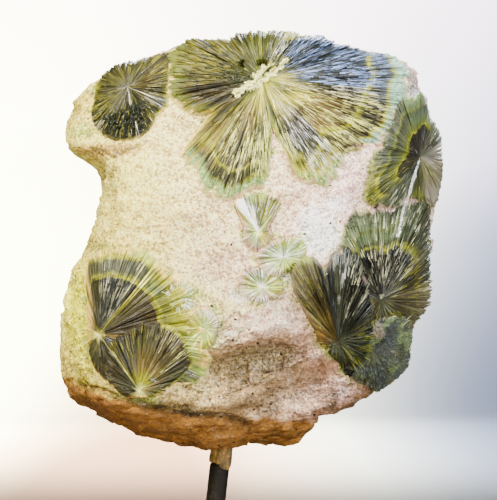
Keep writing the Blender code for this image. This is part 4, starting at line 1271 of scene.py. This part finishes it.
def strewnFinish(name, roughness):
    finish = Finish(name)
    tint, own = finish.stored("tint", "Color"), finish.stored("own", "Vector")
    light = finish.add("ShaderNodeSeparateXYZ", sockets={"Vector": own})
    fine = finish.grain(0.15, 2.0)
    colour = finish.scaled(tint, 0.6 + 0.9 * light)
    colour = finish.mixed(fine.between(0.4, 0.7) * 0.5, colour, finish.scaled(tint, 1.6))
    return finish.surface(
        base_color=colour, roughness=roughness + 0.3 * (fine - 0.5), normal=finish.bumped((fine, 0.02))
    )


def bladeFinish(name, roughness, gloss):
    finish = Finish(name)
    tint = finish.stored("tint", "Color")
    rim, shine, fibre = finish.stored("rim"), finish.stored("shine"), finish.stored("fibre", "Vector")
    fine = finish.grain(0.22, 3.0, 0.65)
    streak = finish.grain(1000, 3.0, 0.7, vector=fibre)
    flash = finish.grain(1000, 3.0, 0.7, vector=finish.vector("ADD", fibre, (17, 31, 5)))
    colour = finish.mixed(streak.between(0.5, 0.72) * (1 - rim) * 0.8, tint, finish.scaled(tint, 1.9))
    colour = finish.mixed(streak.between(0.5, 0.3) * (1 - rim) * 0.85, colour, finish.scaled(tint, 0.3))
    colour = finish.mixed(fine.between(0.45, 0.25) * rim * 0.8, colour, finish.scaled(tint, 0.5))
    # painted glints: fine flecks of the stored glint colour laid into the blades' colour as highlights
    paintedGlitter = flash.between(0.56, 0.66) * shine
    colour = finish.mixed(paintedGlitter, colour, finish.stored("glint", "Color"))
    return finish.surface(
        base_color=colour,
        roughness=roughness + 0.25 * rim + 0.3 * (0.5 - streak),
        coat_weight=gloss,
        coat_roughness=0.12,
        specular_ior_level=0.3,
        normal=finish.bumped((fine, 0.04), (streak, 0.06)),
    )


bladeFinishes = dict(
    green_wavellite=bladeFinish("silky green blades", 0.35, 0.08),
    pale_wavellite=bladeFinish("pale needles", 0.4, 0.1),
    dark_wavellite=bladeFinish("dark green blades", 0.3, 0.1),
)

fibreTree, grainTree = strewTree("fibres", True), strewTree("grains", False)
fibreLook, grainLook = strewnFinish("glinting fibres", 0.3), strewnFinish("crystal grains", 0.35)

fibreGiven = {
    "Thickness": strewing["fibreThickness"] * mm, "Length": strewing["fibreLength"] * mm,
    "Lean": strewing["fibreLean"], "Material": fibreLook,
}
grainGiven = {
    "Density": strewing["grainDensity"] / mm**2, "Grain Size": strewing["grainSize"] * mm,
    "Material": grainLook,
}
coverSpins = np.repeat(np.arange(cover["spokes"]) / cover["spokes"] * 2 * math.pi, cover["rings"])
coverShares = np.tile(np.linspace(0.0, cover["reach"], cover["rings"]), cover["spokes"])
covers = []
for sun in suns:
    sun = commonSun | sun
    shape = sunShape(sun)
    made = madeObject(
        sun["name"], shape["points"], shape["faces"], bladeFinishes[sun["slot"]], smooth=False
    )
    held(made)
    store(made, "colour", "FACE", tint=np.clip(shape["tint"], 0, 1))
    store(made, "colour", glint=shape["glint"])
    store(made, "vector", fibre=shape["fibre"])
    store(made, "number", rim=shape["rim"], shine=shape["shine"], strewn=shape["strewn"])
    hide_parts(sun["node"])
    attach(made, "root")
    laid = shape["laid"]
    covers.append(laid.at(coverSpins, coverShares * laid.reach(coverSpins))[0])
    fibres = shape["fibres"]
    host = madeObject("fibre roots", fibres["points"], [], None)
    store(host, "vector", along=fibres["along"])
    store(host, "colour", tint=fibres["tint"])
    seeded = {"Seed": sun["seed"]}
    grown(sun["name"] + "Fibres", host, fibreTree, sun["node"], fibreGiven | seeded)
    bpy.data.objects.remove(host)
    grown(sun["name"] + "Grains", made, grainTree, sun["node"], grainGiven | seeded)
    print("sun:", sun["name"], len(made.data.polygons), "faces")


# The stone's own piece
stoneDetail = dict(
    chips=((7.0, 0.9, 20), (3.2, 0.6, 30), (1.5, 0.3, 40)),  # size, height and seed of broken facets
    turn=20.0, stretch=(0.5, 1.0, 1.3),  # which way the facets run and how long they are
    rims=1.2,  # how far from a sun the relief is back in full
    underSuns=0.9,  # how far the stone draws back under them
    grainDensity=0.6, grainSize=0.15, grainSeed=3,
)


def coverTree():  # the patches that the suns cover
    points, faces = [], []
    spokes, rings = cover["spokes"], cover["rings"]
    for under in covers:
        start = len(points)
        points += under.tolist()
        for j in range(spokes):
            for i in range(rings - 1):
                a, b = start + j * rings + i, start + (j + 1) % spokes * rings + i
                faces.append((a, a + 1, b + 1, b))
    return BVHTree.FromPolygons(points, faces)


def chips(points, size, seed):  # long flat facets at random tilts, with steps between them
    turn, (long, deep, high) = math.radians(stoneDetail["turn"]), stoneDetail["stretch"]
    x, y, z = np.asarray(points).T
    along, across = x * math.cos(turn) + z * math.sin(turn), z * math.cos(turn) - x * math.sin(turn)
    _, owner, offset = nearestCell(np.stack([along * long, y * deep, across * high], -1) / size, seed)
    lean = np.stack([scrambled(owner, seed + k) - 0.5 for k in (5, 6, 7)], -1)
    return (offset * lean).sum(-1) * 1.6 + 0.5 * (scrambled(owner, seed + 8) - 0.5)


stoneLook = dict(
    noises=dict(coarse=(1.5, 3.0, 0.6), sand=(0.45, 4.0, 0.75), flecks=(0.8, 5.0, 0.8)),
    streaks=(1.6, 4.0, 0.65), streakStretch=(0.3, 1.0, 1.5),  # noises: size, detail and roughness
    layers=(  # noise, from and to, how strong, where, and the factor or the colour that it brings
        ("coarse", (0.42, 0.68), 0.8, "all", 1.35),
        ("coarse", (0.46, 0.3), 0.6, "all", 0.7),
        ("sand", (0.49, 0.6), 1.0, "sandy", 1.8),
        ("sand", (0.51, 0.4), 0.95, "sandy", 0.38),
        ("flecks", (0.58, 0.66), 0.6, "sandy", (248, 244, 240)),
        ("flecks", (0.41, 0.33), 0.75, "all", (150, 130, 112)),
        ("streaks", (0.52, 0.64), 0.75, "broken", 1.6),
        ("streaks", (0.46, 0.36), 0.8, "broken", 0.5),
    ),
    # the pits colour is painted shade in small pits, and the sparkle colour is painted white glints on the
    # sand
    paintedPitShade=(54, 40, 28), paintedSparkle=(250, 248, 246),
    facets=((5.5, 0.7), (2.3, 0.8), (0.9, 0.6)),  # size and strength of the chips in the surface
)


def stoneFinish():
    finish = Finish("sandy stone")
    tint, sandy, rough = finish.stored("tint", "Color"), finish.stored("sandy"), finish.stored("rough")
    noises = {name: finish.grain(*numbers) for name, numbers in stoneLook["noises"].items()}
    streaks = finish.grain(*stoneLook["streaks"], stretch=stoneLook["streakStretch"])
    colour = finish.layered(
        tint, stoneLook["layers"], noises | {"streaks": streaks}, {"sandy": sandy, "broken": rough * sandy}
    )
    # painted shade in pits: small near-black spots
    paintedPitShade = (finish.specks(1.7) + finish.grain(0.4) * 0.25).between(0.3, 0.22)
    paintedPitShade = paintedPitShade * finish.grain(3.0).between(0.5, 0.55)
    colour = finish.mixed(paintedPitShade, colour, stoneLook["paintedPitShade"])
    # painted sparkle: tiny white glints painted on the sandy stone, which is also a little glossier there
    shine = finish.grain(0.2, 1.0).between(0.7, 0.76) * finish.grain(5.0).between(0.45, 0.6) * sandy
    colour = finish.mixed(shine * 0.7, colour, stoneLook["paintedSparkle"])
    turn, stretch = (0, math.radians(stoneDetail["turn"]), 0), stoneDetail["stretch"]
    chip = 0
    for size, strength in stoneLook["facets"]:
        chip = finish.facets(size, turn, stretch) * strength + chip
    return finish.surface(
        base_color=colour, roughness=0.85 - 0.4 * shine, specular_ior_level=0.25,
        normal=finish.bumped(
            (chip * rough, 1000), (streaks * rough, 1.2), (noises["coarse"], 0.4),
            (noises["sand"], 0.25), (finish.specks(0.25), 0.06),
        ),
    )


def stonePiece():
    points = skinPoints.copy()
    made = madeObject("matrixStone", points, skinFaces, stoneFinish())
    normals = np.zeros(len(points) * 3, np.float32)
    made.data.vertex_normals.foreach_get("vector", normals)
    normals = normals.reshape(-1, 3)
    tree = coverTree()
    gap = np.array([min(tree.find_nearest(Vector(point), 6.0)[3] or 6.0, 6.0) for point in points])
    covered = eased(0.35, 0.15, gap)
    x, _, z = points.T
    ragged = raggedness(points)
    ledges = eased(-11.0, -16.0, z + 0.25 * x)  # the broken ledges below the flat front
    away = eased(-0.9, -0.5, normals[:, 1])  # all but the flat front
    rough = np.clip(0.12 + 0.9 * np.maximum(ledges, 0.8 * away), 0, 1)
    detail = 0.14 * lumps(points, 1.6, 1) + 0.1 * lumps(points, 0.8, 2)
    detail += rough * sum(rise * chips(points, size, seed) for size, rise, seed in stoneDetail["chips"])
    hole, own = pebbles(points, 2.6, 5)
    detail -= 0.3 * eased(0.5, 0.15, hole) * (own > 0.6)
    front = points[:, [0, 2]] + 0.5 * np.stack([lumps(points, 2.0, k) for k in (18, 19)], -1)
    facing = eased(0.1, -0.2, normals[:, 1])
    for outline, depth, step in stoneColours["hollows"]:
        detail -= depth * eased(0.0, step, -outlineDistance(front, np.array(outline))) * facing
    crack = np.zeros(len(points))
    for line, width, depth in stoneColours["seams"]:
        mask = eased(width * 2.2, width * 0.4, lineDistance(front, line)) * facing
        detail -= depth * mask
        crack = np.maximum(crack, mask)
    shift = (detail - 0.15 * rough) * eased(0.1, stoneDetail["rims"], gap)
    shift -= stoneDetail["underSuns"] * covered
    points = points + normals * shift[:, None]
    moveTo(made, (points + stoneCentre) * mm)
    held(made)

    colour, down = stoneTint(points, normals, ragged)
    broken = rough * eased(-13, -17, z) * (0.6 + 0.4 * lumps(points, 4.0, 50))
    colour = blended(colour, "ochre", np.clip(0.45 * broken, 0, 1))
    colour = blended(colour, "umber", 0.7 * crack)
    near = np.exp(-np.maximum(gap - 0.6, 0) / 0.9) * (1 - 0.7 * down) * stainShare(points)
    colour = blended(colour, "paleGreen", near)
    sandy = 1 - 0.75 * down
    strewn = sandy * (1 - covered) * (0.3 + 0.7 * eased(-0.2, 0.4, lumps(points, 6.0, 60)))
    store(made, "colour", tint=np.clip(colour, 0, 1))
    store(made, "number", sandy=sandy, rough=rough, strewn=strewn)
    return made


print("stone: detail")
matrixStone = stonePiece()
quartzGiven = {
    "Density": stoneDetail["grainDensity"] / mm**2, "Grain Size": stoneDetail["grainSize"] * mm,
    "Seed": stoneDetail["grainSeed"], "Material": grainLook,
}
grown("quartzGrains", matrixStone, grainTree, "matrix_rock", quartzGiven)
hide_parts("matrix_rock")
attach(matrixStone, "root")


# Putty, rod and base
rod = dict(
    radius=1.6, tip=(-5.1, -4.0, 31.9), lean=0.115, foot=4.5, sides=40, rings=150,
    bendHeights=(11.5, 13.3, 15.0), sidewaysAtBend=(0.0, 0.06, 0.2), wear=0.02, tipRounding=(0.35, 0.25),
)
putty = dict(
    rings=(  # height over the rod's tip, radius
        (-0.35, 1.5), (-0.32, 1.72), (-0.1, 1.84), (0.3, 1.88), (1.0, 1.8), (1.8, 1.74),
        (2.6, 1.86), (3.3, 2.06), (4.6, 2.3),
    ),
    sides=72, count=64, hang=0.9, lobe=-48.0, lumps=((1.3, 0.12), (0.6, 0.06), (0.3, 0.03)),
    creases=((-112.0, 9.0, 0.16), (-48.0, 7.0, 0.12), (60.0, 10.0, 0.12)),  # degrees, width, depth
    colours=((186, 154, 92), (136, 126, 96)), shaded=(-6.2, -3.6),  # painted shade: lighter and warmer on its left side, darker and greyer on its right
    layers=(
        ("broad", (0.5, 0.64), 0.8, "all", (206, 172, 108)),
        ("broad", (0.46, 0.34), 0.8, "all", (116, 90, 50)),
        ("fine", (0.55, 0.75), 0.5, "all", (222, 198, 140)),
        ("specks", (0.16, 0.08), 0.7, "all", (70, 50, 28)),
    ),
)
base = dict(
    size=(50.0, 40.0, 8.0), bevel=1.2, bevelSteps=8, corner=2.0, cornerSteps=10,
    insets=(0.3, 3.0, 8.0, 13.0, 17.0),  # of the rings on its top
)


def tube(name, line, radii, look):  # rings of points round a line that stays in an upright plane
    along = np.gradient(line, axis=0)
    along /= np.linalg.norm(along, axis=1)[:, None]
    side = np.cross((0, 1, 0), along)
    side /= np.linalg.norm(side, axis=1)[:, None]
    ahead = np.cross(along, side)
    count, sides = radii.shape
    turns = np.arange(sides) / sides * 2 * math.pi
    spokes = side[:, None] * np.cos(turns)[:, None] + ahead[:, None] * np.sin(turns)[:, None]
    points = (line[:, None] + spokes * radii[..., None]).reshape(-1, 3)
    points = np.concatenate([points, line[:1], line[-1:]])
    return madeObject(name, points - stoneCentre, loftFaces(count, sides), look)


def rodLine():  # upright out of the base, then leaning to its tip
    tip = np.array(rod["tip"])
    foot = tip[0] - rod["lean"] * (tip[2] - rod["bendHeights"][-1]) - rod["sidewaysAtBend"][-1]
    heights = (0.0, *rod["bendHeights"], tip[2])
    across = (foot, *(foot + gone for gone in rod["sidewaysAtBend"]), tip[0])
    z = np.linspace(rod["foot"], tip[2], rod["rings"])
    return np.stack([np.interp(z, heights, across), z * 0 + tip[1], z], -1)


def rodPiece():
    line = rodLine()
    z, turns = np.meshgrid(line[:, 2], np.arange(rod["sides"]) / rod["sides"] * 2 * math.pi, indexing="ij")
    reach, cut = rod["tipRounding"]
    radii = rod["radius"] - cut * eased(reach, 0.0, z[-1] - z)
    skinned = np.stack([np.cos(turns) * rod["radius"], np.sin(turns) * rod["radius"], z], -1).reshape(-1, 3)
    worn = rod["wear"] * lumps(skinned, 1.1, 61) + 0.5 * rod["wear"] * lumps(skinned, 0.4, 62)
    return tube("standRod", line, radii + worn.reshape(radii.shape) - rod["wear"], rodFinish())


def puttyPiece():
    tip, lean = np.array(rod["tip"]), np.array((rod["lean"], 0, 1.0))
    lean /= np.linalg.norm(lean)
    heights, radii = np.array(putty["rings"]).T
    share = np.linspace(0, 1, putty["count"])
    gaps = np.linspace(0, 1, len(heights)) ** 0.8
    height, radius = np.interp(share, gaps, heights), np.interp(share, gaps, radii)
    sides = putty["sides"]
    degrees = np.arange(sides) / sides * 360
    turns = np.radians(degrees)
    spread = np.tile(radius[:, None], (1, sides))
    places = np.stack(
        [spread * np.cos(turns), spread * np.sin(turns), np.tile(height[:, None], (1, sides))], -1
    ).reshape(-1, 3)
    for size, depth in putty["lumps"]:
        spread = spread + depth * lumps(places, size, 63).reshape(spread.shape)
    above = eased(-0.33, -0.1, height)[:, None]  # the flat end keeps its shape
    bent = degrees[None] + 12 * lumps(places, 1.0, 64).reshape(spread.shape)
    for place, width, depth in putty["creases"]:
        gap = np.abs((bent - place + 180) % 360 - 180)
        spread = spread - depth * eased(width * 1.6, 0, gap) * above
    made = tube("mountingPutty", tip + lean * height[:, None], spread, puttyFinish())
    away = np.abs((degrees - putty["lobe"] + 180) % 360 - 180)
    hang = -putty["hang"] * (eased(75, 10, away) - 0.3)[None] * eased(1.6, -0.3, height)[:, None]
    shift = np.concatenate([hang.ravel(), [hang[0].mean(), 0]])
    moveTo(made, coordinates(made) + shift[:, None] * lean * mm)
    return made


def basePiece():
    wide, deep, high = base["size"]
    bevel, steps = base["bevel"], base["cornerSteps"]
    rings = [(0.0, 0.5), (0.15, 0.15), (0.5, 0.0), (high / 2, 0.0), (high - bevel - 0.01, 0.0)]
    for step in range(1, base["bevelSteps"] + 1):
        turn = step / base["bevelSteps"] * math.pi / 2
        rings.append((high - bevel + bevel * math.sin(turn), bevel * (1 - math.cos(turn))))
    rings += [(high, bevel + gone) for gone in base["insets"]]
    points = []
    for z, inset in rings:
        corner = max(base["corner"] - inset, 0.2)
        for quarter, (sx, sy) in enumerate(((1, 1), (-1, 1), (-1, -1), (1, -1))):
            x, y = sx * (wide / 2 - inset - corner), sy * (deep / 2 - inset - corner)
            for step in range(steps + 1):
                turn = (quarter + step / steps) * math.pi / 2
                points.append((x + corner * math.cos(turn), y + corner * math.sin(turn), z))
    faces = loftFaces(len(rings), 4 * (steps + 1))
    points += [(0, 0, 0), (0, 0, high)]
    return madeObject("standBase", np.array(points) - stoneCentre, faces, baseFinish())


def rodFinish():
    finish = Finish("worn black rod")
    fine, long = finish.grain(0.5, 4.0, 0.6), finish.grain(0.3, 3.0, 0.6, stretch=(1.0, 1.0, 0.08))
    worn = finish.grain(1.6, 4.0, 0.6).between(0.58, 0.68) * fine.between(0.45, 0.6)
    colour = finish.mixed(long.between(0.4, 0.7) * 0.6, (22, 15, 8), (52, 42, 30))
    colour = finish.mixed(worn * 0.7, colour, (92, 80, 62))
    return finish.surface(
        base_color=colour, roughness=0.6 - 0.2 * worn + 0.2 * (fine - 0.5), specular_ior_level=0.15,
        normal=finish.bumped((long, 0.03), (fine, 0.02)),
    )


def puttyFinish():
    finish = Finish("cream putty")
    noises = dict(
        broad=finish.grain(1.6, 3.0, 0.6), fine=finish.grain(0.4, 4.0, 0.6), specks=finish.specks(0.5)
    )
    # painted shade across the putty, lighter on the left and darker on the right
    shaded = (finish.split(0) / mm).between(*putty["shaded"])
    colour = finish.layered(finish.mixed(shaded, *putty["colours"]), putty["layers"], noises)
    return finish.surface(
        base_color=colour, roughness=0.62 + 0.3 * (noises["fine"] - 0.5), specular_ior_level=0.3,
        normal=finish.bumped((noises["broad"], 0.2), (noises["fine"], 0.1)),
    )


def baseFinish():
    finish = Finish("satin black base")
    fine, long = finish.grain(0.7, 4.0, 0.6), finish.grain(1.2, 4.0, 0.6, stretch=(0.06, 1.0, 1.0))
    dust = finish.grain(6.0, 4.0, 0.65).between(0.52, 0.7) * fine.between(0.4, 0.7)
    colour = finish.mixed(long.between(0.4, 0.7) * 0.7, (20, 19, 19), (40, 37, 34))
    colour = finish.mixed(dust * 0.5, colour, (86, 82, 76))
    return finish.surface(
        base_color=colour, roughness=0.38 + 0.4 * dust + 0.1 * (long - 0.5), specular_ior_level=0.35,
        normal=finish.bumped((long, 0.05), (fine, 0.02)),
    )


print("putty, rod and base")
for made, node, slot in (
    (puttyPiece(), "mounting_putty", "cream_putty"),
    (rodPiece(), "stand_rod", "black_rod"),
    (basePiece(), "stand_base", "black_base"),
):
    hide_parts(node)
    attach(made, "root")


# Floor, light and camera
view = dict(centre=(-0.56, 65.84), distance=1200.0, height=80.0, sensor=36.0)
room = dict(  # the floor rises into a wall; the colours are as seen on a screen, and paint its light and shade: bright on the left and top, darker and cooler on the right, with painted shadows below the stone
    wall=2200.0, reach=2600.0, rise=400.0, high=1400.0, riseSteps=24, light=17.0,
    sides=(-90, 110), tops=(70, 180), plainFloor=(300, 700),  # where one colour turns into the next
    left=(254, 248, 240), right=(208, 211, 223), top=(242, 240, 242), near=(226, 224, 222),
    paintedShadows=(  # painted shadows: centre (x, z), reach across and up, colour, how strong
        ((120, -45), (120, 150), (142, 156, 182), 1.0),
        ((-38, -50), (76, 100), (222, 158, 52), 0.9),
    ),
)
lamps = {
    "window": dict(place=(-330, -360, 430), aim=(0, 0, 67), size=160, power=10.0, colour=(1.0, 0.9, 0.72)),
    "sky": dict(place=(360, -330, 430), aim=(0, 0, 67), size=200, power=3.2, colour=(0.75, 0.87, 1.0)),
    "lamp": dict(place=(10, -190, 520), aim=(0, 0, 80), size=100, power=3.0, colour=(1.0, 0.98, 0.95)),
    "backdrop lamp": dict(
        place=(-520, 1400, 660), aim=(-120, 2160, 100), size=140, power=1050.0,
        colour=(1.0, 0.99, 0.97), cone=56,
    ),
    "floor lamp": dict(
        place=(-200, 1350, 900), aim=(-40, 1350, 0), size=200, power=1400.0,
        colour=(1.0, 0.99, 0.97), cone=74,
    ),
    "back fill": dict(place=(240, 640, 420), aim=(0, 0, 67), size=260, power=7.0, colour=(0.95, 0.97, 1.0)),
    "low fill": dict(place=(60, -520, 45), aim=(0, 0, 50), size=260, power=3.0, colour=(1.0, 0.9, 0.72)),
    "side fill": dict(place=(520, -420, 160), aim=(0, 0, 67), size=260, power=3.2, colour=(0.85, 0.92, 1.0)),
}
ambient = dict(colour=(0.9, 0.93, 1.0, 1), strength=0.3)


def backdropFinish():
    finish = Finish("pale floor")
    x, y, z = (finish.split(k) / mm for k in range(3))
    up = z - (1800 - y).between(0, 1000) * 45  # the painted shadows keep their height on the floor before the wall

    def shade(colour):
        seen = linear(colour, room["light"])
        return finish.add("ShaderNodeCombineXYZ", sockets=dict(enumerate(seen)))

    # painted light and shade on the backdrop: brighter on the left and top, darker and bluer on the right,
    # with painted shadows
    colour = finish.mixed(x.between(*room["sides"]), shade(room["left"]), shade(room["right"]))
    colour = finish.mixed(z.between(*room["tops"]) * 0.6, colour, shade(room["top"]))
    for (across, high), (wide, tall), shadowColour, amount in room["paintedShadows"]:
        spread = ((x - across) / wide) ** 2 + ((up - high) / tall) ** 2
        colour = finish.mixed(spread.between(1.0, 0.1) * amount, colour, shade(shadowColour))
    colour = finish.mixed(y.between(*room["plainFloor"]), shade(room["near"]), colour)
    return finish.surface(base_color=colour, roughness=0.8, specular_ior_level=0.1)


def backdrop():
    radius, far, wide = room["rise"], room["wall"], room["reach"]
    profile = [(-wide, 0.0), (far - radius, 0.0)]
    for step in range(1, room["riseSteps"] + 1):
        turn = step / room["riseSteps"] * math.pi / 2
        profile.append((far - radius + radius * math.sin(turn), radius - radius * math.cos(turn)))
    profile.append((far, room["high"]))
    points = [(x, y, z) for x in (-wide, wide) for y, z in profile]
    count = len(profile)
    faces = [(i, i + count, i + count + 1, i + 1) for i in range(count - 1)]
    made = madeObject("floor", np.array(points) - stoneCentre, faces, backdropFinish())


def addLight(name, place, aim, size, power, colour, cone=None):
    lamp = bpy.data.lights.new(name, "SPOT" if cone else "AREA")
    if cone:
        lamp.spot_size, lamp.spot_blend, lamp.shadow_soft_size = math.radians(cone), 1.0, size * mm / 2
    else:
        lamp.shape, lamp.size = "DISK", size * mm
    lamp.energy, lamp.color = power, colour
    made = bpy.data.objects.new(name, lamp)
    made.location = Vector(place) * mm
    made.rotation_mode = "QUATERNION"
    made.rotation_quaternion = (Vector(aim) - Vector(place)).to_track_quat("-Z", "Y")
    bpy.context.scene.collection.objects.link(made)


def addCamera():
    camera = bpy.data.objects.new("camera", bpy.data.cameras.new("camera"))
    camera.location = Vector((view["centre"][0], -view["distance"], view["centre"][1])) * mm
    camera.rotation_euler = (math.pi / 2, 0, 0)
    camera.data.sensor_width = view["sensor"]
    camera.data.lens = view["sensor"] * view["distance"] / view["height"]
    camera.data.clip_end = 10
    bpy.context.scene.collection.objects.link(camera)
    bpy.context.scene.camera = camera


print("floor, light and camera")
backdrop()
for name, lamp in lamps.items():
    addLight(name, **lamp)
world = bpy.data.worlds.new("room")
world.use_nodes = True
sky = world.node_tree.nodes["Background"]
sky.inputs["Color"].default_value = ambient["colour"]
sky.inputs["Strength"].default_value = ambient["strength"]
bpy.context.scene.world = world
addCamera()

print("done")
